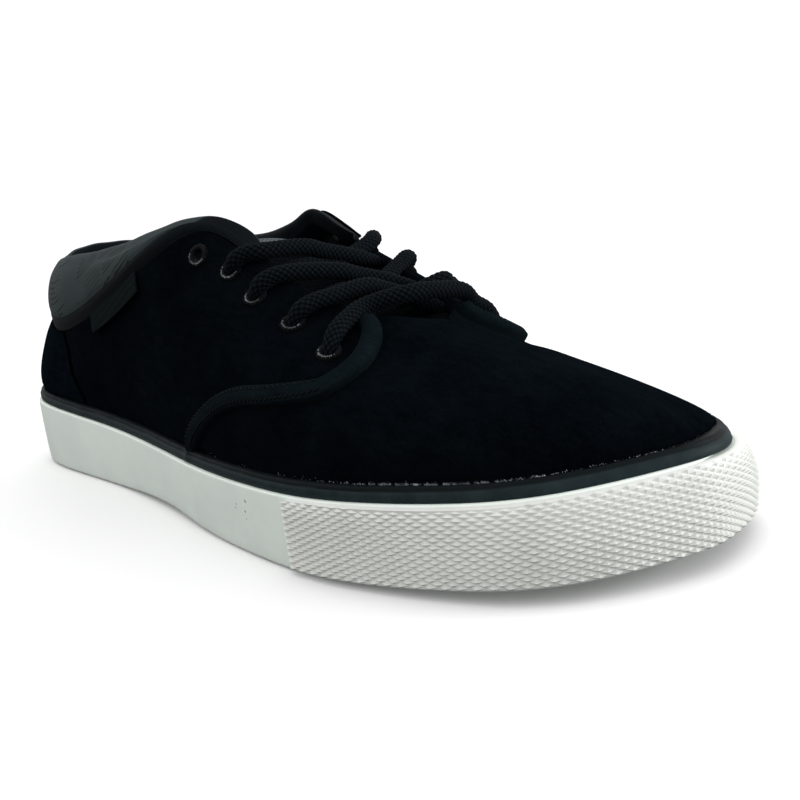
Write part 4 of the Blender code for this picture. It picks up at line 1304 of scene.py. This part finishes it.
def build_collar(skin):
    away = np.linspace(-COLLAR_END_RIB, COLLAR_END_RIB, COLLAR_COLUMNS)
    u = away % COUNT
    drop = collar_drop(u)
    start = collar_line(u, -COLLAR_LAP)
    edge = collar_line(u)
    deep = collar_line(u, COLLAR_DEEP_SHARE * drop + COLLAR_DEEP)
    taper = np.sqrt(np.clip((COLLAR_END_RIB - np.abs(away)) / COLLAR_ROUND, 0.0, 1.0))
    full = np.minimum(drop / COLLAR_FULL_DROP, 1.0) * taper
    back = UPPER_WALL + SEAT_GAP
    thin = COLLAR_TIP + COLLAR_TIP_GAIN * taper
    pad = back + thin + (COLLAR_PAD - COLLAR_PAD_LESS) * full
    bulge = COLLAR_BULGE * full
    third = start + (1.0 - start) * 0.33
    most = start + (1.0 - start) * 0.7
    rim = bare_surface(u, 1.0)
    out = plan_out(u)
    front = [
        surface(u, start, 0.3 - collar_pinch(u)),
        surface(u, third, bulge * 1.25 + 0.2),
        surface(u, most, bulge * 1.1),
        surface(u, 0.955, -0.5 * full),
        rim - out * (pad * 0.45)[:, None] + UP * (0.7 * full)[:, None],
        rim - out * (pad * 0.85)[:, None] - UP * (0.8 * full)[:, None],
        surface(u, most, -pad),
        surface(u, third, -pad),
        surface(u, deep, -back - thin),
    ]
    rows = path_spline(np.array(front).reshape(len(front), -1), COLLAR_ROWS).reshape(COLLAR_ROWS, -1, 3)
    run = run_length(rows)
    normal = unit(np.cross(np.gradient(rows, axis=1), np.gradient(rows, axis=0)) + 1e-9)
    normal *= np.sign((normal[10] * out).sum(1).mean())
    groove = -BINDING_GROOVE * bell(run, BINDING_WIDE, BINDING_RUN) * np.minimum(full * 1.4, 1.0)
    pucker = PUCKER * np.sin(away * PUCKER_TURN) * smooth((run - 6.0) / 8.0)
    rows = rows + normal * (groove + pucker)[:, :, None]
    hidden = [surface(u, deep, -back), surface(u, edge, -back), surface(u, start, -UPPER_WALL)]
    sections = np.concatenate([rows, np.array(hidden)]).transpose(1, 0, 2)
    along = run_length(rows[PRINT_ROW])
    across = run * (1.0 - smooth((np.abs(away) - PRINT_RIB) / PRINT_FADE))
    across = np.concatenate([across, np.full((len(hidden), COLLAR_COLUMNS), PRINT_PAST)])
    across[COLLAR_INNER_ROW:] += PRINT_PAST
    uv = np.stack([np.repeat(along[:, None], len(across), 1), across.T], -1)
    mesh = loft("collar_skin", sections, uv=uv, sharp=60.0)
    item = add_piece("collar_skin", mesh, [skin], ["collar"])


# Band: points along it and across it, end and fade of its rolled top, tuck under the throat
BAND_SAMPLES = 260
BAND_POINTS = 18
BAND_ROLL_END = 0.24
BAND_ROLL_FADE = 0.22
BAND_TUCK = 0.25
BAND_TUCK_RUN = 0.06
BAND_TWIST = 0.07
# Its two rows of stitches: place across it, slant, length, pitch, depth, radius, press along the row
STITCH_OUT = 1.65
STITCH_SLANT = 0.5
STITCH_LONG = 1.9
STITCH_PITCH = 2.0
STITCH_SUNK = 0.32
STITCH_RADIUS = 0.27
STITCH_PRESS = 0.3
STITCH_PRESS_RUN = 0.15


def build_band(side, mirrored, skin, stitch_skin):
    u, t = band_line(BAND_SAMPLES, mirrored)
    spots = surface(u, t, SEAT_GAP)
    normals = lean(u, t)
    along = unit(np.gradient(spots, axis=0))
    across = unit(np.cross(normals, along))
    place = np.linspace(0.0, 1.0, BAND_SAMPLES)
    roll = 1.0 - smooth((place - BAND_ROLL_END) / BAND_ROLL_FADE)
    tuck = BAND_TUCK + (1.0 - BAND_TUCK) * smooth(place / BAND_TUCK_RUN)
    half = BAND_HALF * (1.0 + BAND_ROLL_WIDE * roll)
    tall = BAND_RISE + BAND_ROLL_RISE[mirrored] * roll
    sections = []
    for turn in np.linspace(0.0, math.pi, BAND_POINTS):
        reach = math.cos(turn)
        rise = tall * max(math.sin(turn), 0.0) ** (0.55 + 0.25 * roll)
        press = STITCH_PRESS * bell(abs(reach), 0.59, STITCH_PRESS_RUN) * (1.0 - roll)
        twist = BAND_TWIST * np.sin(np.arange(BAND_SAMPLES) * 1.1 + reach * 3.6)
        lift = (rise - press) * tuck + twist
        sections.append(spots + across * (reach * half)[:, None] + normals * lift[:, None])
    for way in (-1.0, 1.0):
        sections.append(spots + across * (way * half)[:, None] - normals * BAND_FOOT)
    mesh = loft("band_" + side, np.stack(sections, 1), sharp=60.0)
    add_piece("band_" + side, mesh, [skin], ["quarter_band_" + side])
    run = slice(int(BAND_STITCH_FROM * BAND_SAMPLES), -8)
    rows = []
    for way in (1.0, -1.0):
        line = spots + across * (way * STITCH_OUT) + normals * (BAND_RISE - STITCH_SUNK)
        rows.append(stitch_ends(line[run], normals[run], STITCH_LONG, STITCH_PITCH, way * STITCH_SLANT))
    starts, ends, ups = (np.concatenate(part) for part in zip(*rows))
    mesh = capsules("band_stitch_" + side, starts, ends, ups, STITCH_RADIUS)
    add_piece("band_stitch_" + side, mesh, [stitch_skin])


# Tongue: gap under the flaps, heights along the ribs of its middle and sides, share of the sag at its sides
TONGUE_GAP = 0.15
TONGUE_MIDDLE = 0.99
TONGUE_SIDE = 0.97
TONGUE_SIDE_SAG = 0.35
# Points along it and across it, runs of its round sides and end, seam and binding by share of its length
TONGUE_LONG = 90
TONGUE_ACROSS = 61
TONGUE_SIDE_RUN = 0.12
TONGUE_END_RUN = 0.04
TONGUE_SEAM = 0.36
TONGUE_SEAM_PLACE = 0.925
TONGUE_SEAM_RUN = 0.008
TONGUE_BINDING = 0.972


def tongue_rows():
    rows = []
    for _, away, sag, low, extra in TONGUE:
        lower = UPPER_WALL + SEAT_GAP + TONGUE_GAP + 0.5 * TONGUE_THICK + extra
        drop = TONGUE_MEDIAL_DROP * extra / TONGUE[-1][4]
        lateral = []
        medial = []
        for share in (0.0, 0.5, 1.0):
            t = low + (TONGUE_SIDE - low) * share
            depth = -lower - sag * TONGUE_SIDE_SAG * share
            lateral.append(surface(TOE_RIB - away, t, depth)[0])
            medial.append(surface(TOE_RIB + away, t, depth)[0] - UP * (drop * share))
        pair = [surface(TOE_RIB + way * away, TONGUE_MIDDLE, -lower)[0] for way in (-1.0, 1.0)]
        middle = 0.5 * (pair[0] + pair[1]) - UP * sag
        rows.append(path_spline(lateral + [middle] + medial[::-1], TONGUE_ACROSS))
    return np.array(rows)


def build_tongue(skin, binding):
    rows = tongue_rows()
    sheet = path_spline(rows.reshape(len(rows), -1), TONGUE_LONG).reshape(TONGUE_LONG, TONGUE_ACROSS, 3)
    normal = unit(np.cross(np.gradient(sheet, axis=1), np.gradient(sheet, axis=0)))
    if normal[TONGUE_LONG // 2, TONGUE_ACROSS // 2, 2] < 0.0:
        normal = -normal
    along = np.linspace(0.0, 1.0, TONGUE_LONG)
    across = np.linspace(0.0, 1.0, TONGUE_ACROSS)
    side = 2.0 * np.minimum(across, 1.0 - across)
    edge = np.sqrt(np.clip(side / TONGUE_SIDE_RUN, 0.0, 1.0))
    end = np.sqrt(np.clip((1.0 - along) / TONGUE_END_RUN, 0.02, 1.0))
    half = 0.5 * TONGUE_THICK * np.outer(end, edge * 0.85 + 0.15)
    seam = TONGUE_SEAM * bell(along, TONGUE_SEAM_PLACE, TONGUE_SEAM_RUN)
    upper = sheet + normal * (half - seam[:, None])[:, :, None]
    lower = sheet - normal * half[:, :, None]
    mesh = loft("tongue_skin", np.concatenate([upper, lower[:, ::-1]], 1), sharp=70.0)
    item = add_piece("tongue_skin", mesh, [skin, binding], ["tongue"])
    for face in mesh.polygons:
        if min(face.vertices) // (2 * TONGUE_ACROSS) >= int(TONGUE_LONG * TONGUE_BINDING):
            face.material_index = 1


# Insole: points round it, rings to its middle line, that line by x, width of its lip, depth of its dish
INSOLE_COLUMNS = 300
INSOLE_RINGS = 26
INSOLE_MIDDLE_X = ((0.0, 40.0, 260.0, 300.0), (20.0, 40.0, 255.0, 268.0))
INSOLE_MIDDLE_Y = ((0.0, 150.0, 300.0), (0.0, -3.0, 4.0))
INSOLE_LIP = 1.6
INSOLE_LIP_RISE = 0.1
INSOLE_DISH = 0.7
# Its edge from below: distance inward and rise
INSOLE_EDGE = (
    (0.6, 0.0),
    (0.0, 0.6),
    (0.0, INSOLE_THICK - 0.4),
    (0.5, INSOLE_THICK + 0.2),
    (INSOLE_LIP, INSOLE_THICK + INSOLE_LIP_RISE),
)


def build_insole(skin):
    n = INSOLE_COLUMNS
    u = ring_ribs(n)
    x = rib(u)[:, 0]
    edge = -(UPPER_INSET + UPPER_WALL + SEAT_GAP)
    centre = np.column_stack([np.interp(x, *INSOLE_MIDDLE_X), np.interp(x, *INSOLE_MIDDLE_Y)])
    flats = [(outline(u, edge - inward), rise) for inward, rise in INSOLE_EDGE]
    rim = outline(u, edge - INSOLE_LIP)
    for share in np.linspace(0.06, 1.0, INSOLE_RINGS):
        dish = INSOLE_LIP_RISE - INSOLE_DISH * smooth(share * 2.5)
        flats.append((rim + (centre - rim) * share, INSOLE_THICK + dish))
    rings = [np.column_stack([flat, floor_height(flat[:, 0]) + SEAT_GAP + rise]) for flat, rise in flats]
    faces = [tuple(f) for f in grid_faces(len(rings), n, False, True)]
    for base in (0, (len(rings) - 1) * n):
        faces += bridge_faces(base, n)
    mesh = make_mesh("insole_skin", np.concatenate(rings), faces, weld=0.002, sharp=60.0)
    item = add_piece("insole_skin", mesh, [skin], ["insole"])


# Eyelets: stitches, their radius, height of their crown and overlap there, points round the ring below
EYELET_SPOKES = 38
EYELET_THREAD = 0.3
EYELET_CROWN = 0.75
EYELET_LAP = 0.12
EYELET_SIDES = 48
# Section of that ring: distance from the hole's middle and rise over the suede
EYELET_RING = (
    (EYELET_HOLE - 0.1, -UPPER_WALL - 0.2),
    (EYELET_HOLE - 0.1, 0.35),
    (EYELET_HOLE + 0.4, 0.75),
    (0.5 * (EYELET_HOLE + EYELET_OUTER), 0.85),
    (EYELET_OUTER - 0.4, 0.55),
    (EYELET_OUTER - 0.1, -0.2),
    (EYELET_HOLE + 0.9, -UPPER_WALL - 0.2),
)
# Threads with painted highlight: the side where the light catches, their radius and how far they stand over
# the others
HIGHLIGHT_WAY = np.array([-0.25, 0.0, -0.95])
HIGHLIGHT_THREAD = 0.2
HIGHLIGHT_LIFT = 0.14


def build_eyelets(skin, highlight_skin):
    # Embroidered rings: a low padded ring under radial stitches, some of them pale with painted highlight.
    rng = np.random.default_rng(7)
    highlights = []
    for label, u, t in eyelet_places():
        spot = surface(u, t, 0.1)[0]
        normal = lean(u, t)[0]
        side = np.array(Vector(normal).orthogonal().normalized())
        other = np.cross(normal, side)

        def around(turns):
            return np.cos(turns)[:, None] * side + np.sin(turns)[:, None] * other

        shift = rng.uniform(-0.12, 0.12, EYELET_SPOKES)
        way = around(2.0 * math.pi * (np.arange(EYELET_SPOKES) + shift) / EYELET_SPOKES)
        outer = EYELET_OUTER + rng.uniform(-0.25, 0.15, EYELET_SPOKES)
        starts = spot + way * (EYELET_HOLE - 0.15) + normal * 0.1
        ends = spot + way * outer[:, None] + normal * 0.05
        crown = 0.5 * (starts + ends) + normal * EYELET_CROWN
        lap = (ends - starts) * EYELET_LAP
        ups = np.tile(normal, (EYELET_SPOKES, 1))
        threads = capsules("eyelet_" + label, np.concatenate([starts, crown - lap]),
                           np.concatenate([crown + lap, ends]), np.concatenate([ups, ups]),
                           EYELET_THREAD, flat=1.0, sides=5)
        # Stitches towards the lower side get a pale thread: painted highlight
        lit_spokes = way @ unit(HIGHLIGHT_WAY) + rng.uniform(-0.2, 0.2, EYELET_SPOKES) > HIGHLIGHT_ARC
        over = normal * HIGHLIGHT_LIFT
        highlights.append(((crown - lap + over)[lit_spokes], (ends + over)[lit_spokes], ups[lit_spokes]))
        out = around(full_turn(EYELET_SIDES))
        sections = [spot + out * reach + normal * rise for reach, rise in EYELET_RING]
        ring = loft("eyelet_ring_" + label, np.stack(sections, 1), closed_path=True)
        work = bmesh.new()
        work.from_mesh(threads)
        work.from_mesh(ring)
        work.to_mesh(threads)
        work.free()
        bpy.data.meshes.remove(ring)
        add_piece("eyelet_skin_" + label, threads, [skin], ["eyelet_" + label])
    starts, ends, ups = (np.concatenate(part) for part in zip(*highlights))
    mesh = capsules("eyelet_highlight", starts, ends, ups, HIGHLIGHT_THREAD, flat=1.0, sides=5)
    add_piece("eyelet_highlight", mesh, [highlight_skin])


# Lace under the suede: depth at a hole, where it dives under a flap, and between the two
LACE_UNDER = 1.6
LACE_DIVE = 2.3
LACE_BETWEEN = 1.9
LACE_SAMPLES = 14
# Braid: roundness of a strand across and along, share of the radius below the strands, their height
STRAND_ACROSS = 0.55
STRAND_ALONG = 0.3
BRAID_CORE = 0.84
BRAID_RISE = 0.18


def lace_start(index, mirrored):
    # A strand leaves the hole, lies on the flap and goes over its edge.
    _, u, t = EYELETS[index]
    edge_rib = u + EDGE_SHIFT[index]
    if mirrored:
        u = COUNT - u
        edge_rib = COUNT - edge_rib
    room = EDGE_ROOM_MEDIAL[index] if mirrored else EDGE_ROOM[index]
    points = [(surface(u, t, -UPPER_WALL - LACE_UNDER)[0], 0.55), (surface(u, t, 0.0)[0], 0.74)]
    for share, lift in LACE_CLIMB_MEDIAL if mirrored and index < LAST_EYELET else LACE_CLIMB:
        spot = surface(u + (edge_rib - u) * share, t + (FLAP_EDGE - t) * share, LACE_RADIUS + lift)[0]
        points.append((spot, 1.0))
    return points + [(surface(edge_rib, FLAP_EDGE, LACE_RADIUS + room)[0], 1.0)]


def lace_across(index, mirrored, centre_x, centre_z):
    # From the flap's edge over the throat and under the other flap, next row down.
    side = 1.0 if mirrored else -1.0
    middle = np.array([centre_x, 0.0, centre_z])
    _, far_u, far_t = EYELETS[index + 1]
    far_u = far_u if mirrored else COUNT - far_u
    far_edge = bare_surface(far_u, 1.0)[0]
    far = middle + (far_edge - middle) * 0.5
    far[2] = 0.5 * (centre_z + far_edge[2]) - (LACE_FALL_UNDER if mirrored else LACE_FALL)
    dive = surface(far_u, FLAP_EDGE, -UPPER_WALL - LACE_DIVE)[0]
    under = surface(far_u, 0.5 * (FLAP_EDGE + far_t), -UPPER_WALL - LACE_BETWEEN)[0]
    step, rise = LACE_EASE_UNDER if mirrored else LACE_EASE
    ease = np.array([0.0, side * step, rise])
    return [(middle + ease, 1.0), (middle, 1.0), (far, 1.0), (dive, 0.8), (under, 0.6)]


def lace_half(mirrored):
    # One end of the lace, from the top eyelet's back down to the last eyelet's hole.
    _, u, t = EYELETS[0]
    top = surface(COUNT - u if mirrored else u, t, -UPPER_WALL - LACE_UNDER)[0]
    points = [(top, 0.5)]
    side = mirrored
    for index, centre_x, centre_z in CROSSINGS:
        points += lace_start(index, side)
        points += lace_across(index, side, centre_x, centre_z - (LACE_STACK if side else 0.0))
        side = not side
    return points + lace_start(LAST_EYELET, side), side


def between(a, b, start, end, t):
    return (end - t) / (end - start) * a + (t - start) / (end - start) * b


def lace_line():
    # The whole lace as one fine line: position and share of its full width.
    first, first_side = lace_half(False)
    second, _ = lace_half(True)
    bar = [(np.array(spot), 1.0) for spot in LACE_BAR_MIDDLE]
    if first_side:
        bar = bar[::-1]
    rows = np.array([np.append(spot, fat) for spot, fat in first + bar + second[::-1]])
    last = len(rows) - 1
    steps = np.linalg.norm(np.diff(rows[:, :3], axis=0), axis=1) ** 0.5
    knots = np.concatenate([[0.0], np.cumsum(steps)])
    fine = []
    for k in range(last):
        a, b, c, d = (rows[max(k - 1, 0)], rows[k], rows[k + 1], rows[min(k + 2, last)])
        t0 = knots[max(k - 1, 0)] - (1e-3 if k == 0 else 0.0)
        t1, t2 = knots[k], knots[k + 1]
        t3 = knots[min(k + 2, last)] + (1e-3 if k == last - 1 else 0.0)
        for t in np.linspace(t1, t2, LACE_SAMPLES)[:-1]:
            p = between(a, b, t0, t1, t)
            q = between(b, c, t1, t2, t)
            r = between(c, d, t2, t3, t)
            fine.append(between(between(p, q, t0, t2, t), between(q, r, t1, t3, t), t1, t2, t))
    fine.append(rows[-1])
    return even_path(np.array(fine), LACE_STEP)


def build_lace(skin):
    path = lace_line()
    spots = path[:, :3]
    along = unit(np.gradient(spots, axis=0))
    side = unit(np.cross(along[0], UP))
    turns = full_turn(LACE_SIDES)
    around = LACE_CARRIERS * np.arange(LACE_SIDES) / LACE_SIDES
    run = np.arange(len(spots)) * LACE_STEP
    sections = []
    heights = []
    for spot, way, width, s in zip(spots, along, path[:, 3], run):
        side = side - way * side.dot(way)
        side = side / np.linalg.norm(side)
        other = np.cross(way, side)
        p = around + s / LACE_PITCH
        q = around - s / LACE_PITCH
        over = (np.floor(p) + np.floor(q)) % 2 == 0
        p_wave = np.sin(math.pi * (p % 1.0))
        q_wave = np.sin(math.pi * (q % 1.0))
        wide = np.abs(np.where(over, p_wave, q_wave))
        long = np.abs(np.where(over, q_wave, p_wave))
        height = wide ** STRAND_ACROSS * long ** STRAND_ALONG
        radius = LACE_RADIUS * width * (BRAID_CORE + BRAID_RISE * height)
        ring = np.outer(np.cos(turns) * radius, side) + np.outer(np.sin(turns) * radius, other)
        sections.append(spot + ring)
        heights.append(height)
    # The braid's height goes to the form map, where braid() paints shade in the gaps and highlight on the
    # strands
    uv = np.stack([np.array(heights), np.repeat(run[:, None], LACE_SIDES, 1)], -1)
    mesh = loft("lace_skin", np.array(sections), uv=uv)
    add_piece("lace_skin", mesh, [skin],
              ["lace_bar", "lace_cross_1", "lace_cross_2", "lace_cross_3"])


# Tag: points along it and down it, lift off the suede, bow of its lower edge, faces beside its middle
TAG_SAMPLES = 40
TAG_ROWS = 14
TAG_LIFT = 0.9
TAG_BOW = 0.7
TAG_FRONT = 0.25
TAG_BACK = 0.35


def build_tag(skin):
    u, t = path_spline([row[1:] for row in TAG], TAG_SAMPLES).T
    top = surface(u, t, 0.3)
    normals = lean(u, t)
    down = unit(np.cross(unit(np.gradient(top, axis=0)), normals))
    if down[:, 2].mean() > 0.0:
        down = -down
    front = []
    back = []
    for share in np.linspace(0.0, 1.0, TAG_ROWS):
        bow = TAG_LIFT + TAG_BOW * math.sin(0.5 * math.pi * share)
        row = top + down * (TAG_TALL * share)
        front.append(row + normals * (bow + TAG_FRONT))
        back.append(row + normals * (bow - TAG_BACK))
    sections = np.stack(front + back[::-1], 1)
    mesh = loft("tag_skin", sections, sharp=50.0)
    add_piece("tag_skin", mesh, [skin], ["side_tag"])


# Fuzz: how many fibres, half their width, shortest and longest
FUZZ_COUNT = 5200
FUZZ_HALF = 0.045
FUZZ_LONG = (0.4, 1.1)
# Largest crumb, and the level of the clump pattern above which crumbs stay
CRUMB_MOST = 0.55
CRUMB_LEVEL = -0.3


def build_fuzz(skin):
    # Short suede fibres along the top of the dark line.
    rng = np.random.default_rng(11)
    u = rng.uniform(0.0, COUNT, FUZZ_COUNT)
    t = np.abs(rng.normal(0.0, 0.008, FUZZ_COUNT))
    rise = rng.uniform(0.0, 0.7, FUZZ_COUNT)[:, None]
    sweep = rng.normal(0.0, 0.8, FUZZ_COUNT)[:, None]
    long = rng.uniform(*FUZZ_LONG, FUZZ_COUNT)[:, None]
    curl = rng.normal(0.0, 0.35, FUZZ_COUNT)[:, None]
    spot = surface(u, t, -0.1)
    normal = lean(u, t)
    tangent = unit(surface(u + 0.01, t) - surface(u - 0.01, t))
    way = normal + UP * rise + tangent * sweep
    wide = unit(np.cross(way, normal + 0.3 * tangent)) * FUZZ_HALF
    bend = tangent * curl
    middle = spot + unit(way) * long * 0.55 + bend * 0.4
    tip = spot + unit(way) * long + bend
    fibres = np.stack([spot - wide, spot + wide, middle - wide * 0.8, middle + wide * 0.8, tip], 1)
    faces = []
    for b in range(0, 5 * FUZZ_COUNT, 5):
        faces.append((b, b + 1, b + 3, b + 2))
        faces.append((b + 2, b + 3, b + 4))
    mesh = make_mesh("fuzz_dark", fibres.reshape(-1, 3), faces, flip=False)
    add_piece("fuzz_dark", mesh, [skin])


def build_crumbs(skin):
    # Pale crumbs of glue and dust where the suede meets the dark line, thickest along the outer forefoot.
    rng = np.random.default_rng(23)
    u, size = [], []
    for middle, spread, count, big in CRUMBS:
        u.append(rng.normal(middle, spread, count))
        size.append(rng.lognormal(math.log(big), 0.35, count))
    u = np.concatenate(u)
    size = np.minimum(np.concatenate(size), CRUMB_MOST)
    clump = np.sin(u * 61.0) + np.sin(u * 37.0 + 1.0) + rng.normal(0.0, 0.6, len(u))
    kept = clump > CRUMB_LEVEL
    u = u[kept]
    size = size[kept]
    t = np.abs(rng.normal(0.0, 0.006, len(u)))
    spot = surface(u, t, rng.uniform(0.0, 0.35, len(u))) - UP * edge_dip(u)[:, None]
    ball = bmesh.new()
    bmesh.ops.create_icosphere(ball, subdivisions=1, radius=1.0)
    shape = np.array([v.co for v in ball.verts])
    trios = np.array([[v.index for v in face.verts] for face in ball.faces])
    ball.free()
    rough = shape[None] * rng.uniform(0.55, 1.25, (len(u), len(shape), 1))
    rough *= rng.uniform(0.6, 1.4, (len(u), 1, 3))
    points = spot[:, None, :] + rough * size[:, None, None]
    faces = (trios[None] + (np.arange(len(u)) * len(shape))[:, None, None]).reshape(-1, 3)
    mesh = make_mesh("crumbs", points.reshape(-1, 3), faces, flip=False)
    add_piece("crumbs", mesh, [skin])


# Stage

CAMERA_SPOT = (449.98, -232.80, 115.32)
CAMERA_YAW = 47.92
CAMERA_PITCH = 13.27
CAMERA_ROLL = -6.91
CAMERA_LENS = 53.48
# Strength of the dome above and below the horizon, and how far down it fades
DOME_HIGH = 1.07
DOME_LOW = 0.1
DOME_FADE = -0.25
FLOOR_HALF = 30.0
FLOOR_DROP = 0.0003
# Lights: name, place, aim, width in metres and power in watts
LIGHTS = (
    ("key_right", (0.89, 0.855, 0.17), (0.12, 0.0, 0.03), 0.6, 12.0),
    ("top_soft", (0.1, 0.0, 1.2), (0.0, 0.0, 0.0), 1.2, 3.0),
)


def build_camera():
    yaw, pitch, roll = (math.radians(v) for v in (CAMERA_YAW, CAMERA_PITCH, CAMERA_ROLL))
    ahead = Vector((-math.sin(yaw) * math.cos(pitch), math.cos(yaw) * math.cos(pitch), -math.sin(pitch)))
    level = Vector((math.cos(yaw), math.sin(yaw), 0.0))
    over = level.cross(ahead)
    right = math.cos(roll) * level + math.sin(roll) * over
    up = -math.sin(roll) * level + math.cos(roll) * over
    data = bpy.data.cameras.new("camera")
    data.lens = CAMERA_LENS
    data.sensor_width = 36.0
    data.clip_start = 0.01
    item = bpy.data.objects.new("camera", data)
    bpy.context.scene.collection.objects.link(item)
    turn = Matrix((right, up, -ahead)).transposed().to_4x4()
    item.matrix_world = Matrix.Translation(Vector(to_metres(CAMERA_SPOT))) @ turn
    bpy.context.scene.camera = item


def add_light(name, spot, aim, size, power):
    data = bpy.data.lights.new(name, "AREA")
    data.shape = "DISK"
    data.size = size
    data.energy = power
    item = bpy.data.objects.new(name, data)
    item.location = spot
    item.rotation_mode = "QUATERNION"
    item.rotation_quaternion = (Vector(aim) - Vector(spot)).to_track_quat("-Z", "Y")
    bpy.context.scene.collection.objects.link(item)


def build_floor():
    mesh = bpy.data.meshes.new("floor")
    work = bmesh.new()
    bmesh.ops.create_grid(work, x_segments=2, y_segments=2, size=FLOOR_HALF)
    work.to_mesh(mesh)
    work.free()
    floor = bpy.data.objects.new("floor", mesh)
    floor.location = (0.0, 0.0, -FLOOR_DROP)
    mesh.materials.append(Look("floor_look", (0.95, 0.95, 0.95), 0.9).made)
    bpy.context.scene.collection.objects.link(floor)
    floor.visible_diffuse = False
    floor.visible_glossy = False


def build_dome():
    world = bpy.data.worlds.new("studio")
    world.use_nodes = True
    tree = world.node_tree
    way = tree.nodes.new("ShaderNodeTexCoord")
    split = tree.nodes.new("ShaderNodeSeparateXYZ")
    dome = tree.nodes.new("ShaderNodeMapRange")
    dome.inputs["From Min"].default_value = DOME_FADE
    dome.inputs["From Max"].default_value = 0.0
    dome.inputs["To Min"].default_value = DOME_LOW
    dome.inputs["To Max"].default_value = DOME_HIGH
    tree.links.new(way.outputs["Generated"], split.inputs["Vector"])
    tree.links.new(split.outputs["Z"], dome.inputs["Value"])
    tree.links.new(dome.outputs["Result"], tree.nodes["Background"].inputs["Strength"])
    tree.nodes["Background"].inputs["Color"].default_value = (1.0, 1.0, 1.0, 1.0)
    bpy.context.scene.world = world


def main():
    build_camera()
    suede_tones = ((0.0003, 0.0007, 0.0013), (0.0028, 0.0044, 0.0060))
    heel_tones = ((0.0005, 0.0012, 0.0023), (0.0036, 0.0066, 0.0094))
    black_suede = suede("suede_look", *suede_tones, heel=heel_tones)
    fuzz = suede("fuzz_look", *suede_tones, specks=False)
    band_suede = suede("band_look", (0.0022, 0.0042, 0.0054), (0.0062, 0.0098, 0.0118), specks=False)
    white = rubber_white("white_rubber_look", (0.77, 0.84, 0.78), (0.71, 0.77, 0.72), MARKS)
    bumper = rubber_white("bumper_look", (0.71, 0.72, 0.69), (0.65, 0.66, 0.63))
    lining = weave("lining_look", (0.002, 0.003, 0.004), (0.007, 0.009, 0.011), pitch=1.1)
    tongue_cloth = weave("tongue_look", (0.0008, 0.0014, 0.0020), (0.0028, 0.0040, 0.0052), pitch=0.9)
    binding = weave("binding_look", (0.05, 0.06, 0.065), (0.12, 0.13, 0.14), pitch=0.8)
    footbed = weave("footbed_look", (0.006, 0.007, 0.008), (0.016, 0.018, 0.020), pitch=1.0)
    tag = weave("tag_look", (0.0030, 0.0055, 0.0058), (0.0062, 0.0095, 0.0098), pitch=0.4)
    stitch = thread("stitch_look", (0.0016, 0.0026, 0.0034), (0.005, 0.007, 0.009), gloss=0.7, shine=0.03)
    eyelet = thread("eyelet_look", (0.0018, 0.0026, 0.0030), (0.0066, 0.0082, 0.0092), gloss=0.6, shine=0.05)
    # Pale thread for the eyelets' lower stitches: painted highlight
    highlights = thread("highlight_thread_look", (0.05, 0.06, 0.065), (0.28, 0.30, 0.31), gloss=0.6, shine=0.15)
    dust = thread("dust_look", (0.06, 0.07, 0.075), (0.34, 0.36, 0.37), gloss=0.8, shine=0.05)
    build_sole(white)
    build_stripe(rubber_black())
    build_bumper(bumper)
    build_upper(black_suede, lining)
    build_collar(collar_cloth())
    build_band("lateral", False, band_suede, stitch)
    build_band("medial", True, band_suede, stitch)
    build_tongue(tongue_cloth, binding)
    build_insole(footbed)
    build_eyelets(eyelet, highlights)
    build_lace(braid())
    build_tag(tag)
    build_fuzz(fuzz)
    build_crumbs(dust)
    build_floor()
    build_dome()
    for light in LIGHTS:
        add_light(*light)
    bpy.context.scene.view_settings.view_transform = "Standard"


main()
